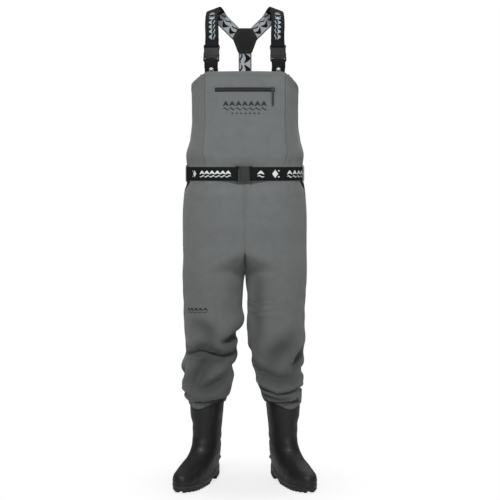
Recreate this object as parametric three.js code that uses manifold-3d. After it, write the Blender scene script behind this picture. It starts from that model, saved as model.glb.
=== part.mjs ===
// Boot-foot chest waders, hollow, standing as they do when worn.
// Millimetres, +Z up, the wearer faces -Y and the wearer's left is +X.
// The origin is on the floor, under the middle of the bounding box.
import * as THREE from "three";
import { mergeVertices } from "three/addons/utils/BufferGeometryUtils.js";
import Module from "manifold-3d";

const wasm = await Module();
wasm.setup();

// ---------------------------------------------------------------- driving sizes
const GAP = 0.3; // running gap between neighbouring pieces
const FABRIC = 2.5; // laminate with its seam allowance
const WEBBING = 1.6; // elastic webbing thickness
const WEBBING_WIDTH = 40;

const BIB_TOP = 1237; // front edge of the bib
const BIB_SIDE_TOP = 1192;
const BIB_BACK_TOP = 1115;
const BIB_BEND = 250; // radius of the bib across a tab
const WAIST_SEAM = 937; // under the middle of the belt
const CROTCH = 720;
const KNEE_TOP = 500;
const KNEE_BOTTOM = 380;
const HEM = 240;
const PRINCESS_SEAM = 1.25; // girth position of the bib's front side seams
const BACK_SEAM = 2.6; // girth position of the bib's back side seams

const ZIP_HEIGHT = 1183;
const ZIP_LENGTH = 176;
const ZIP_WINDOW = 12.6; // height of the slit that shows the zip
const POCKET_DEPTH = 165;

const BOOT_LENGTH = 300;
const BOOT_HALF_WIDTH = 52;
const HEEL_HALF_WIDTH = 37;
const SHAFT_FRONT = 65; // shin side of the shaft, from its axis
const BOOT_WALL = 3;
const BOOT_TOP = 272;
const SOLE_TOP = 15;
const HEEL_LIFT = 14; // how much higher the heel seat is than the forefoot
const LUG_HEIGHT = 5;
const TOE_OUT = THREE.MathUtils.degToRad(18);
const BOOT_X = 116; // shaft axis from the middle plane
const BOOT_Y = 14; // shaft axis behind the torso's axis

const BRACE_X = 98; // front strap's middle
const BRACE_YAW = THREE.MathUtils.degToRad(8);
const BRACE_TILT = THREE.MathUtils.degToRad(13);
const BRACE_BUCKLE_HEIGHT = 1281;
const YOKE_HEIGHT = 1345;
const YOKE_Y = 98;
const YOKE_TILT = THREE.MathUtils.degToRad(16);
const BELT_BUCKLE_X = -12;

const COLOURS = {
  fabric: [0x6a6d6c, 0.85, 0],
  lining: [0x8b8e8d, 0.9, 0],
  webbing: [0x17181a, 0.8, 0],
  plastic: [0x1b1b1d, 0.45, 0],
  rubber: [0x1f2020, 0.55, 0],
  sole: [0x191a1a, 0.7, 0],
  foam: [0x3b3d3f, 0.95, 0],
  zip: [0x26282a, 0.6, 0],
};

const waders = new THREE.Group();
const vec = (x, y, z) => new THREE.Vector3(x, y, z);
const mix = THREE.MathUtils.lerp;
const ease = THREE.MathUtils.smoothstep;
const SIDES = [["left", 1], ["right", -1]];

// ---------------------------------------------------------------- shape helpers
// A smooth curve through [position, value] stations that never overshoots them.
function profile(stations) {
  const p = [...stations].sort((a, b) => a[0] - b[0]);
  const slope = p.slice(1).map((q, i) => (q[1] - p[i][1]) / (q[0] - p[i][0]));
  const tangent = p.map((_, i) => {
    const [before, after] = [slope[i - 1], slope[i]];
    if (before === undefined || after === undefined || before * after <= 0) return 0;
    return (2 * before * after) / (before + after);
  });
  return (at) => {
    const x = THREE.MathUtils.clamp(at, p[0][0], p[p.length - 1][0]);
    const i = Math.min(p.findLastIndex((q) => q[0] <= x), p.length - 2);
    const step = p[i + 1][0] - p[i][0];
    const t = (x - p[i][0]) / step;
    const rise = p[i + 1][1] - p[i][1];
    const cubic = tangent[i] + tangent[i + 1] - (2 * rise) / step;
    const square = (3 * rise) / step - 2 * tangent[i] - tangent[i + 1];
    return p[i][1] + step * t * (tangent[i] + t * (square + t * cubic));
  };
}

// A closed geometry from points and triangles, turned so that its faces point out.
function closed(points, triangles) {
  const volume = triangles.reduce(
    (sum, [a, b, c]) => sum + points[a].dot(points[b].clone().cross(points[c])), 0);
  const turned = volume < 0 ? triangles.map(([a, b, c]) => [a, c, b]) : triangles;
  return new THREE.BufferGeometry().setFromPoints(points).setIndex(turned.flat());
}

// A wall between two grids of points, each given by a function of (column, row) from 0 to 1.
function wall(columns, rows, outer, inner, loop = false) {
  const across = loop ? columns : columns + 1;
  const points = [outer, inner].flatMap((face) =>
    Array.from({ length: (rows + 1) * across }, (_, i) =>
      face((i % across) / columns, Math.floor(i / across) / rows)));
  const at = (layer, c, r) => (layer * (rows + 1) + r) * across + (loop ? c % columns : c);
  const triangles = [];
  const quad = (a, b, c, d) => triangles.push([a, b, c], [a, c, d]);
  for (let r = 0; r < rows; r++)
    for (let c = 0; c < columns; c++) {
      quad(at(0, c, r), at(0, c + 1, r), at(0, c + 1, r + 1), at(0, c, r + 1));
      quad(at(1, c, r), at(1, c, r + 1), at(1, c + 1, r + 1), at(1, c + 1, r));
    }
  for (let c = 0; c < columns; c++) {
    quad(at(0, c, 0), at(1, c, 0), at(1, c + 1, 0), at(0, c + 1, 0));
    quad(at(0, c, rows), at(0, c + 1, rows), at(1, c + 1, rows), at(1, c, rows));
  }
  for (let r = 0; r < rows && !loop; r++) {
    quad(at(0, 0, r), at(0, 0, r + 1), at(1, 0, r + 1), at(1, 0, r));
    quad(at(0, columns, r), at(1, columns, r), at(1, columns, r + 1), at(0, columns, r + 1));
  }
  return closed(points, triangles);
}

// A skin over rings with the same number of points; strips across the first and last close it.
function loft(rings) {
  const n = rings[0].length;
  const triangles = [];
  for (let r = 0; r + 1 < rings.length; r++)
    for (let i = 0; i < n; i++) {
      const [a, b] = [r * n + i, r * n + ((i + 1) % n)];
      triangles.push([a, b, b + n], [a, b + n, a + n]);
    }
  for (const first of [0, (rings.length - 1) * n])
    for (let i = 0; i < n / 2; i++) {
      const [a, b, c, d] = [i, i + 1, n - i - 1, (n - i) % n].map((k) => k + first);
      const strip = [[a, b, c], [a, c, d]].filter((t) => new Set(t).size === 3);
      triangles.push(...(first ? strip : strip.map(([p, q, r]) => [p, r, q])));
    }
  return closed(rings.flat(), triangles);
}

// A flat band along points; across(i) is its width direction at point i.
function strap(points, across, width = WEBBING_WIDTH, thickness = WEBBING) {
  return loft(points.map((point, i) => {
    const ahead = points[Math.min(i + 1, points.length - 1)].clone();
    const along = ahead.sub(points[Math.max(i - 1, 0)]).normalize();
    const wide = across(i).clone();
    wide.addScaledVector(along, -wide.dot(along)).setLength(width / 2);
    const thick = along.clone().cross(wide).setLength(thickness / 2);
    return [[1, 1], [-1, 1], [-1, -1], [1, -1]].map(([w, t]) =>
      point.clone().addScaledVector(wide, w).addScaledVector(thick, t));
  }));
}

const along = (points, count) => new THREE.CatmullRomCurve3(points, false, "centripetal")
  .getSpacedPoints(count);

// Solid booleans, on three.js geometries.
function solid(geometry) {
  const bare = geometry.index ? geometry.toNonIndexed() : geometry.clone();
  bare.deleteAttribute("normal");
  bare.deleteAttribute("uv");
  const merged = mergeVertices(bare, 1e-4);
  return new wasm.Manifold(new wasm.Mesh({
    numProp: 3,
    vertProperties: merged.attributes.position.array,
    triVerts: new Uint32Array(merged.index.array),
  }));
}

function geometryOf(manifold) {
  const mesh = manifold.getMesh();
  return new THREE.BufferGeometry()
    .setAttribute("position", new THREE.BufferAttribute(mesh.vertProperties, mesh.numProp))
    .setIndex(new THREE.BufferAttribute(mesh.triVerts, 1));
}

const box = (x0, x1, y0, y1, z0, z1) => new THREE.BoxGeometry(x1 - x0, y1 - y0, z1 - z0)
  .translate((x0 + x1) / 2, (y0 + y1) / 2, (z0 + z1) / 2);
const cut = (from, ...tools) => geometryOf(
  tools.reduce((left, tool) => left.subtract(solid(tool)), solid(from)));
const join = (first, ...others) => geometryOf(
  others.reduce((sum, other) => sum.add(solid(other)), solid(first)));

// A prism over an outline in the XZ plane, from y0 to y1.
function plateXZ(outline, y0, y1) {
  const shape = new THREE.Shape(outline.map(([x, z]) => new THREE.Vector2(x, z)));
  const depth = y1 - y0;
  return new THREE.ExtrudeGeometry(shape, { depth, bevelEnabled: false, curveSegments: 4 })
    .rotateX(Math.PI / 2).translate(0, y1, 0);
}

function add(name, geometry, colour) {
  const [color, roughness, metalness] = COLOURS[colour];
  const mesh = new THREE.Mesh(geometry, new THREE.MeshStandardMaterial({ color, roughness, metalness }));
  mesh.name = name;
  waders.add(mesh);
  return mesh;
}

// ---------------------------------------------------------------- the torso's outline
// The section at a height has a flat front and back joined by quarter ellipses at the sides.
// The belt's band is straight up and down, so that the belt lies flat on it.
const BELT_BAND = WEBBING_WIDTH / 2 + 4;
const [BAND_TOP, BAND_BOTTOM] = [WAIST_SEAM + BELT_BAND, WAIST_SEAM - BELT_BAND];
const halfWidth = profile([[BIB_TOP, 163], [1156, 161], [1100, 161], [1040, 167], [995, 178],
  [BAND_TOP, 174.5], [BAND_BOTTOM, 174.5], [880, 183], [806, 187.5], [CROTCH, 187]]);
const frontDepth = profile([[BIB_TOP, 118], [1120, 118], [1020, 122], [990, 122],
  [BAND_TOP, 118], [BAND_BOTTOM, 118], [870, 126], [790, 126], [CROTCH, 116]]);
const backDepth = profile([[BIB_TOP, 118], [1100, 116], [1000, 108], [BAND_TOP, 103],
  [BAND_BOTTOM, 103], [880, 118], [820, 130], [770, 130], [CROTCH, 118]]);
const flatHalf = profile([[BIB_TOP, 97], [1000, 97], [BAND_TOP, 84], [BAND_BOTTOM, 84], [860, 62],
  [CROTCH, 45]]);

// u runs 0 at the front middle, 2 at the wearer's left side, 4 at the back middle, and on to 8.
function torso(u, z, inset = 0) {
  const turn = ((u % 8) + 8) % 8;
  const mirror = turn > 4 ? -1 : 1;
  const half = turn > 4 ? 8 - turn : turn;
  const [flat, side] = [flatHalf(z), halfWidth(z) - flatHalf(z) - inset];
  const [front, back] = [frontDepth(z) - inset, backDepth(z) - inset];
  const angle = (half % 1) * (Math.PI / 2);
  if (half <= 1) return vec(mirror * flat * half, -front, z);
  if (half < 2) return vec(mirror * (flat + side * Math.sin(angle)), -front * Math.cos(angle), z);
  if (half < 3) return vec(mirror * (flat + side * Math.cos(angle)), back * Math.sin(angle), z);
  return vec(mirror * flat * (4 - half), back, z);
}

const topEdge = profile([[0, BIB_TOP], [1.1, BIB_TOP - 1], [1.34, BIB_TOP - 12], [1.58, BIB_TOP - 27],
  [2, BIB_SIDE_TOP], [3, BIB_BACK_TOP + 8], [4, BIB_BACK_TOP]]);
const topAt = (u) => topEdge(Math.min(Math.abs(u), 8 - Math.abs(u)));
const SEAM_STEP = (2 * GAP) / 150; // two gaps, in girth units

function torsoPanel(from, to, low, high, columns, rows, depth = 0, thickness = FABRIC) {
  const face = (inset) => (c, r) => {
    const u = mix(from, to, c);
    const [bottom, top] = [low(u), high(u)];
    const steps = r * rows;
    // The row next to the waist seam keeps to the belt's band.
    if (bottom === waistLine() && steps > 0.5)
      return torso(u, mix(BAND_TOP, top, (steps - 1) / (rows - 1)), inset);
    if (top === WAIST_SEAM && steps < rows - 0.5)
      return torso(u, mix(bottom, BAND_BOTTOM, steps / (rows - 1)), inset);
    return torso(u, mix(bottom, top, r), inset);
  };
  return wall(columns, rows, face(depth), face(depth + thickness));
}

// ---------------------------------------------------------------- bib
const waistLine = () => WAIST_SEAM + GAP;
const zipWindow = box(-ZIP_LENGTH / 2, ZIP_LENGTH / 2, -200, -80,
  ZIP_HEIGHT - ZIP_WINDOW / 2, ZIP_HEIGHT + ZIP_WINDOW / 2);
add("bib_front_panel", cut(torsoPanel(-PRINCESS_SEAM, PRINCESS_SEAM, waistLine, topAt, 20, 8),
  zipWindow), "fabric");
for (const [name, side] of SIDES) {
  const [from, to] = [side * (PRINCESS_SEAM + SEAM_STEP), side * (BACK_SEAM - SEAM_STEP)];
  add(`bib_side_panel_${name}`, torsoPanel(from, to, waistLine, topAt, 8, 8), "fabric");
}
add("bib_back_panel", torsoPanel(BACK_SEAM + SEAM_STEP, 8 - BACK_SEAM - SEAM_STEP,
  waistLine, topAt, 12, 7), "fabric");

const POCKET_TOP = ZIP_HEIGHT - ZIP_WINDOW / 2 - 7;
add("chest_pocket_bag", torsoPanel(-0.96, 0.96, () => POCKET_TOP - POCKET_DEPTH,
  () => POCKET_TOP, 4, 6, FABRIC + 3 * GAP, FABRIC), "lining");

// ---------------------------------------------------------------- pocket zip
const ZIP_Y = -frontDepth(ZIP_HEIGHT); // the bib's outer face at the zip
const TAPE = { overlap: 5, thickness: 1.2 };
const TEETH = { height: 5, front: 0.9 };
const SLIDER = { x: ZIP_LENGTH / 2 - 6.2, halfLength: 5.5, halfHeight: 4.5, thickness: 2.2 };
const PULL = { barRadius: 1, eyeRadius: 2.4, bore: 1.35, halfWidth: 3.4, length: 44, thickness: 1.6 };
const tapeHalf = ZIP_LENGTH / 2 + TAPE.overlap;
const tapeY = ZIP_Y + FABRIC + GAP;
add("zip_tape", box(-tapeHalf, tapeHalf, tapeY, tapeY + TAPE.thickness,
  ZIP_HEIGHT - ZIP_WINDOW / 2 - TAPE.overlap, ZIP_HEIGHT + ZIP_WINDOW / 2 + TAPE.overlap), "zip");
add("zip_teeth", box(-ZIP_LENGTH / 2 + 1, ZIP_LENGTH / 2 - 1, ZIP_Y + TEETH.front, tapeY - GAP,
  ZIP_HEIGHT - TEETH.height / 2, ZIP_HEIGHT + TEETH.height / 2), "zip");

const sliderBack = ZIP_Y + TEETH.front - GAP;
const barY = sliderBack - SLIDER.thickness - PULL.eyeRadius - 0.4;
const barAlongX = (radius, length, y) => new THREE.CylinderGeometry(radius, radius, length, 14)
  .rotateZ(Math.PI / 2).translate(0, y, 0);
const sliderBody = box(-SLIDER.halfLength, SLIDER.halfLength, sliderBack - SLIDER.thickness,
  sliderBack, -SLIDER.halfHeight, SLIDER.halfHeight);
const posts = [-1, 1].map((side) => box(side * 4.7 - 0.8, side * 4.7 + 0.8,
  barY - PULL.barRadius - 0.4, sliderBack - 1, -1.6, 1.6));
const slider = join(sliderBody, ...posts, barAlongX(PULL.barRadius, 9.4, barY));
add("zip_slider", slider.translate(SLIDER.x, 0, ZIP_HEIGHT), "zip");
const tab = box(-PULL.halfWidth, PULL.halfWidth, barY - PULL.thickness / 2,
  barY + PULL.thickness / 2, -PULL.length, -1);
const eye = barAlongX(PULL.eyeRadius, 2 * PULL.halfWidth, barY);
const pull = cut(join(tab, eye), barAlongX(PULL.bore, 12, barY));
add("zip_pull", pull.translate(SLIDER.x, 0, ZIP_HEIGHT), "zip");

// ---------------------------------------------------------------- hips and seat
const hipTop = () => WAIST_SEAM;
const hipBottom = () => CROTCH + GAP;
for (const [name, side] of SIDES) {
  const front = torsoPanel(side * SEAM_STEP, side * (2 - SEAM_STEP), hipBottom, hipTop, 7, 7);
  const back = torsoPanel(side * (2 + SEAM_STEP), side * (4 - SEAM_STEP), hipBottom, hipTop, 7, 7);
  add(`hip_front_${name}`, front, "fabric");
  add(`hip_back_${name}`, back, "fabric");
}

// ---------------------------------------------------------------- legs
// Each leg's silhouette: height, inner edge and outer edge from the middle plane.
const INNER_EDGE = {
  left: profile([[CROTCH, 2], [640, 2], [548, 6], [470, 6], [433, 11], [387, 20], [340, 29],
    [293, 39], [260, 46], [HEM, 54]]),
  right: profile([[CROTCH, 2], [640, 4], [548, 11], [483, 14], [441, 29], [400, 29], [366, 33],
    [302, 39], [262, 48], [HEM, 54]]),
};
const OUTER_EDGE = {
  left: profile([[CROTCH, 187], [640, 189], [548, 183], [433, 181], [387, 175], [340, 177],
    [293, 178], [260, 176], [HEM, 177]]),
  right: profile([[CROTCH, 187], [640, 189], [548, 185], [441, 183], [400, 181], [366, 190],
    [302, 191], [262, 185], [HEM, 177]]),
};
const legFront = profile([[CROTCH, 116], [640, 98], [500, 88], [440, 90], [380, 82], [300, 76],
  [HEM, 66]]);
const legBack = profile([[CROTCH, 118], [640, 100], [500, 86], [440, 84], [380, 92], [300, 98],
  [HEM, 96]]);
const CORNER = 0.75; // share of the loop that is the outer arc, from front to back middle
const MIDDLE_GAP = 1.5; // each leg's inner wall from the middle plane at the crotch

// k runs round one leg: 0 at the front middle, 0.375 outer side, 0.75 back middle, 1 front again.
function legOutline(name, k, z, inset) {
  const loop = ((k % 1) + 1) % 1;
  const onArc = loop <= CORNER;
  const share = onArc ? loop / CORNER : (loop - CORNER) / (1 - CORNER);
  const split = onArc ? torso(4 * share, CROTCH, inset)
    : vec(0, mix(1, -1, share), 0);
  if (!onArc) split.y = mix(backDepth(CROTCH) - inset, -(frontDepth(CROTCH) - inset), share);
  split.x = Math.max(split.x, MIDDLE_GAP + inset);
  const angle = onArc ? mix(-0.75, 0.75, share) * Math.PI : mix(0.75, 1.25, share) * Math.PI;
  const [inner, outer] = [INNER_EDGE[name](z), OUTER_EDGE[name](z)];
  const depth = Math.sin(angle) < 0 ? legFront(z) : legBack(z);
  const round = vec((inner + outer) / 2 + ((outer - inner) / 2 - inset) * Math.cos(angle),
    (depth - inset) * Math.sin(angle), z);
  const morph = ease(CROTCH - z, 0, CROTCH - 640);
  return split.lerp(round, morph).setZ(z);
}

function legPanel(name, side, from, to, low, high, columns, rows, loop = false) {
  const face = (inset) => (c, r) => {
    const point = legOutline(name, mix(from, to, c), mix(low, high, r), inset);
    return point.setX(point.x * side);
  };
  return wall(columns, rows, face(0), face(FABRIC), loop);
}

const INSEAM = 0.875;
const OUTSEAM = 0.375;
const LEG_STEP = GAP / 560; // one gap, as a share of the leg's girth
for (const [name, side] of SIDES) {
  const front = [INSEAM - 1 + LEG_STEP, OUTSEAM - LEG_STEP];
  const back = [OUTSEAM + LEG_STEP, INSEAM - LEG_STEP];
  add(`thigh_front_${name}`, legPanel(name, side, ...front, KNEE_TOP + GAP, CROTCH, 8, 6), "fabric");
  add(`thigh_back_${name}`, legPanel(name, side, ...back, KNEE_TOP + GAP, CROTCH, 8, 6), "fabric");
  add(`knee_sleeve_${name}`, legPanel(name, side, 0, 1, KNEE_BOTTOM, KNEE_TOP, 16, 4, true), "fabric");
  add(`shin_front_${name}`, legPanel(name, side, ...front, HEM, KNEE_BOTTOM - GAP, 8, 5), "fabric");
  add(`shin_back_${name}`, legPanel(name, side, ...back, HEM, KNEE_BOTTOM - GAP, 8, 5), "fabric");
}

// The gusset is a strip that closes the fork between the two legs.
const gussetReach = FABRIC + GAP;
add("crotch_gusset", box(-9, 9, -frontDepth(CROTCH) + gussetReach, backDepth(CROTCH) - gussetReach,
  CROTCH + GAP, CROTCH + GAP + FABRIC), "fabric");

// ---------------------------------------------------------------- boots
// Section of the boot in its own frame: the shaft's axis is at y 0 and the toe points to -Y.
const BOOT_BACK = 75;
const BOOT_FRONT = BOOT_LENGTH - BOOT_BACK;
const instep = (share) => mix(SHAFT_FRONT, BOOT_FRONT, share); // between the shin and the toe
const bootFront = profile([[SOLE_TOP, BOOT_FRONT - 4], [30, BOOT_FRONT - 1], [45, BOOT_FRONT - 5],
  [54, BOOT_FRONT - 20], [61, instep(0.725)], [70, instep(0.5375)], [83, instep(0.3375)],
  [104, instep(0.1625)], [132, instep(0.05)], [170, SHAFT_FRONT], [BOOT_TOP, SHAFT_FRONT]]);
const bootBack = profile([[SOLE_TOP, BOOT_BACK - 4], [45, BOOT_BACK], [80, BOOT_BACK - 2],
  [145, BOOT_BACK - 11], [200, BOOT_BACK - 10], [BOOT_TOP, BOOT_BACK - 9]]);
const ballHalf = profile([[SOLE_TOP, BOOT_HALF_WIDTH - 8], [32, BOOT_HALF_WIDTH - 6],
  [56, BOOT_HALF_WIDTH - 9], [80, BOOT_HALF_WIDTH - 11],
  [118, BOOT_HALF_WIDTH - 11], [145, BOOT_HALF_WIDTH - 11], [235, BOOT_HALF_WIDTH - 1],
  [BOOT_TOP, BOOT_HALF_WIDTH + 1]]);
const heelHalf = profile([[SOLE_TOP, HEEL_HALF_WIDTH - 3], [60, HEEL_HALF_WIDTH], [90, HEEL_HALF_WIDTH],
  [145, HEEL_HALF_WIDTH + 3], [235, BOOT_HALF_WIDTH - 2],
  [BOOT_TOP, BOOT_HALF_WIDTH + 1]]);
const heelSeat = (y) => HEEL_LIFT * ease(y, -70, -5);
const toeSpring = (y) => 5 * ease(-y, BOOT_FRONT - 80, BOOT_FRONT);
const footRise = (y) => heelSeat(y) + toeSpring(y);
const BOOT_RING = 2 * Math.ceil(BOOT_LENGTH / 30);

function bootOutline(z, inset, count = BOOT_RING) {
  const [front, back] = [bootFront(z) - inset, bootBack(z) - inset];
  return Array.from({ length: count }, (_, i) => {
    const angle = (2 * Math.PI * i) / count;
    const [c, s] = [Math.cos(angle), Math.sin(angle)];
    const half = mix(ballHalf(z), heelHalf(z), ease(c, -0.7, 0.75)) - inset;
    const y = (back - front) / 2 + ((back + front) / 2) * c;
    const x = Math.sign(s) * half * Math.abs(s) ** mix(0.82, 1, ease(z, 70, 150));
    const rise = footRise(y) * (1 - ease(z, SOLE_TOP, 130));
    return vec(x, y, z + rise);
  });
}

const bootFrame = (side) => new THREE.Matrix4().makeRotationZ(side * TOE_OUT)
  .setPosition(side * BOOT_X, BOOT_Y, 0);
const OUTER_RINGS = [SOLE_TOP - 4, 24, 38, 48, 58, 67, 78, 94, 118, 150, 200, 236, BOOT_TOP];
const FLOOR = SOLE_TOP + 3;
const INNER_RINGS = [BOOT_TOP, 200, 145, 112, 88, 72, 58, 44, 30, FLOOR];

// Half the sole's width at a distance along it.
const soleHalf = profile([[-BOOT_FRONT, 4], [-BOOT_FRONT + 6, BOOT_HALF_WIDTH - 32],
  [-BOOT_FRONT + 22, BOOT_HALF_WIDTH - 16], [-BOOT_FRONT + 70, BOOT_HALF_WIDTH - 5],
  [-BOOT_FRONT + 110, BOOT_HALF_WIDTH - 7], [-40, HEEL_HALF_WIDTH], [20, HEEL_HALF_WIDTH],
  [BOOT_BACK - 22, HEEL_HALF_WIDTH - 4], [BOOT_BACK - 6, HEEL_HALF_WIDTH - 19], [BOOT_BACK, 4]]);
const HEEL_BREAST = 2;
const tread = (y) => {
  const arch = ease(-y, -HEEL_BREAST - 3, -HEEL_BREAST + 3) * (1 - ease(-y, 48, 72));
  return LUG_HEIGHT + 9 * arch + toeSpring(y);
};

// A plate over the foot's plan between two height functions; grow widens it all round.
function footPlate(low, high, grow, rows = 18) {
  const face = (height) => (c, r) => {
    const t = (1 - Math.cos(Math.PI * r)) / 2;
    const y = mix(BOOT_BACK + grow, -BOOT_FRONT - grow, t);
    const plan = THREE.MathUtils.clamp(y, -BOOT_FRONT, BOOT_BACK);
    return vec(mix(-1, 1, c) * (soleHalf(plan) + grow), y, height(y));
  };
  return wall(4, rows, face(high), face(low));
}

function lugs() {
  const bars = [];
  for (let y = -BOOT_FRONT + 16; y < -66; y += 17) bars.push(box(-60, 60, y, y + 10, 0, 12));
  for (let y = HEEL_BREAST + 2; y < BOOT_BACK - 8; y += 16) bars.push(box(-60, 60, y, y + 10, 0, 12));
  const groove = box(-2.5, 2.5, -BOOT_FRONT, BOOT_BACK, -1, LUG_HEIGHT - 1);
  const plan = footPlate(toeSpring, () => 40, -4, 14);
  return geometryOf(solid(join(...bars)).intersect(solid(plan)).subtract(solid(groove)));
}

for (const [name, side] of SIDES) {
  const place = bootFrame(side);
  const outer = OUTER_RINGS.map((z) => bootOutline(z, 0));
  const inner = INNER_RINGS.map((z) => bootOutline(z, BOOT_WALL));
  // The upper and the sole are cut along one surface, a gap apart.
  const seat = (drop) => (y) => SOLE_TOP - drop + footRise(y);
  const upper = cut(loft([...outer, ...inner]), footPlate(() => -30, seat(0), 12));
  add(`boot_upper_${name}`, upper.applyMatrix4(place), "rubber");

  const sole = cut(join(footPlate(tread, seat(-3), 0), lugs()), footPlate(seat(GAP), () => 90, 12));
  add(`outsole_${name}`, sole.applyMatrix4(place), "sole");

  const insole = footPlate((y) => FLOOR + 1.4 + footRise(y), (y) => FLOOR + 4.4 + footRise(y), -19, 12);
  add(`insole_${name}`, insole.applyMatrix4(place), "foam");

  // The seam band fills the space between the boot's shaft and the leg's hem.
  const bandHeight = (r) => mix(HEM + 6, BOOT_TOP - 4, r);
  const onBoot = (c, r) => {
    const ring = bootOutline(bandHeight(r), -2 * GAP);
    return ring[Math.round(side * c * BOOT_RING + BOOT_RING) % BOOT_RING].applyMatrix4(place);
  };
  const onLeg = (c, r) => {
    const k = 0.625 + TOE_OUT / (2 * Math.PI) - c;
    const point = legOutline(name, k, bandHeight(r), FABRIC + 2.4);
    return point.setX(point.x * side);
  };
  add(`boot_seam_band_${name}`, wall(BOOT_RING, 2, onLeg, onBoot, true), "rubber");
}

// ---------------------------------------------------------------- side-release buckle
// In its own frame the plug is below z 0 and the socket above it, and -Y is the outer face.
const SLOT_HALF = WEBBING_WIDTH / 2 + 1;
const BUCKLE = {
  halfWidth: SLOT_HALF + 2.5, halfThickness: 5, socketLength: 35, plugLength: 16,
  cavityHalf: SLOT_HALF - 1, cavityHalfThickness: 2.7, cavityLength: 23,
  slotHalf: SLOT_HALF, bar: 3.5, windowLow: 9, windowHigh: 20,
};

function buckleSocket() {
  const { halfWidth: w, halfThickness: t, socketLength: h } = BUCKLE;
  const outline = [[-w + 1, 0], [w - 1, 0], [w, 4], [w - 1.5, 12], [w - 1.2, 22], [w, 27],
    [w - 0.5, h - 2], [w - 3, h], [-w + 3, h], [-w + 0.5, h - 2], [-w, 27], [-w + 1.2, 22],
    [-w + 1.5, 12], [-w, 4]];
  const cavity = box(-BUCKLE.cavityHalf, BUCKLE.cavityHalf, -BUCKLE.cavityHalfThickness,
    BUCKLE.cavityHalfThickness, -1, BUCKLE.cavityLength);
  const windows = [-1, 1].map((side) => {
    const ends = [side * (w - 7.5), side * (w + 2.5)];
    return box(Math.min(...ends), Math.max(...ends), -BUCKLE.cavityHalfThickness, BUCKLE.cavityHalfThickness,
      BUCKLE.windowLow, BUCKLE.windowHigh);
  });
  const barLow = h - BUCKLE.bar;
  const slot = box(-BUCKLE.slotHalf, BUCKLE.slotHalf, -t - 1, t + 1, 25, barLow);
  const thin = [-1, 1].map((side) => box(-BUCKLE.slotHalf, BUCKLE.slotHalf,
    Math.min(side * BUCKLE.bar / 2, side * 6), Math.max(side * BUCKLE.bar / 2, side * 6), 25, h + 1));
  return cut(plateXZ(outline, -t, t), cavity, ...windows, slot, ...thin);
}

function bucklePlug() {
  const { halfWidth: w, plugLength: h, slotHalf, bar } = BUCKLE;
  const outline = [[-w + 1, -GAP], [-w, -3], [-w, -h + 2], [-w + 2, -h], [w - 2, -h], [w, -h + 2],
    [w, -3], [w - 1, -GAP]];
  const tongue = box(-4.5, 4.5, -1.8, 1.8, -1, 21);
  const slot = box(-slotHalf, slotHalf, -6, 6, -h + bar, -5.5);
  const thin = [-1, 1].map((side) => box(-slotHalf, slotHalf,
    Math.min(side * bar / 2, side * 6), Math.max(side * bar / 2, side * 6), -h - 1, -5.5));
  return cut(join(plateXZ(outline, -4, 4), tongue), slot, ...thin);
}

function buckleArm(side) {
  const outline = [[12.8, 0], [11.1, 0], [9.9, 1.2], [7.9, 9.6], [0.9, 9.6], [0.5, 12.5], [4.7, 19.2],
    [8, 21.5], [10.5, 21], [11.1, 9], [13.3, 1.2]]
    .map(([inward, z]) => [side * (BUCKLE.halfWidth - inward), z]);
  return plateXZ(side > 0 ? outline : outline.reverse(), -2.4, 2.4);
}

// The webbing's end, looped round a bar at height barZ; the layers leave it towards dir.
function loopPoints(barZ, dir, tail) {
  const radius = (BUCKLE.bar / 2) * Math.SQRT2 + GAP + WEBBING / 2;
  const turn = Array.from({ length: 9 }, (_, i) => {
    const angle = (Math.PI * i) / 8;
    return vec(0, radius * Math.cos(angle), barZ - dir * radius * Math.sin(angle));
  });
  return [vec(0, 1.6, barZ + dir * tail), vec(0, radius * 0.85, barZ + dir * tail * 0.4), ...turn,
    vec(0, -radius, barZ + dir * 6)];
}

function addBuckle(name, frame) {
  add(`${name}_socket`, buckleSocket().applyMatrix4(frame), "plastic");
  add(`${name}_plug`, bucklePlug().applyMatrix4(frame), "plastic");
  add(`${name}_arm_a`, buckleArm(1).applyMatrix4(frame), "plastic");
  add(`${name}_arm_b`, buckleArm(-1).applyMatrix4(frame), "plastic");
}

const SOCKET_BAR = BUCKLE.socketLength - BUCKLE.bar / 2;
const PLUG_BAR = -BUCKLE.plugLength + BUCKLE.bar / 2;

// ---------------------------------------------------------------- yoke and braces
// The yoke is two plates that hold the ends of three straps between them.
const YOKE = [[-22, 38], [22, 38], [38.5, 8], [21, -39], [-21, -39], [-38.5, 8]];
const YOKE_PLATE = 1.8;
const yokeFrame = new THREE.Matrix4().makeRotationX(YOKE_TILT).setPosition(0, YOKE_Y, YOKE_HEIGHT);
for (const [name, at] of [["yoke_front_plate", -1], ["yoke_back_plate", 1]]) {
  const middle = at * (WEBBING / 2 + GAP + YOKE_PLATE / 2);
  const plate = plateXZ(YOKE, middle - YOKE_PLATE / 2, middle + YOKE_PLATE / 2);
  add(name, plate.applyMatrix4(yokeFrame), "plastic");
}

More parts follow.
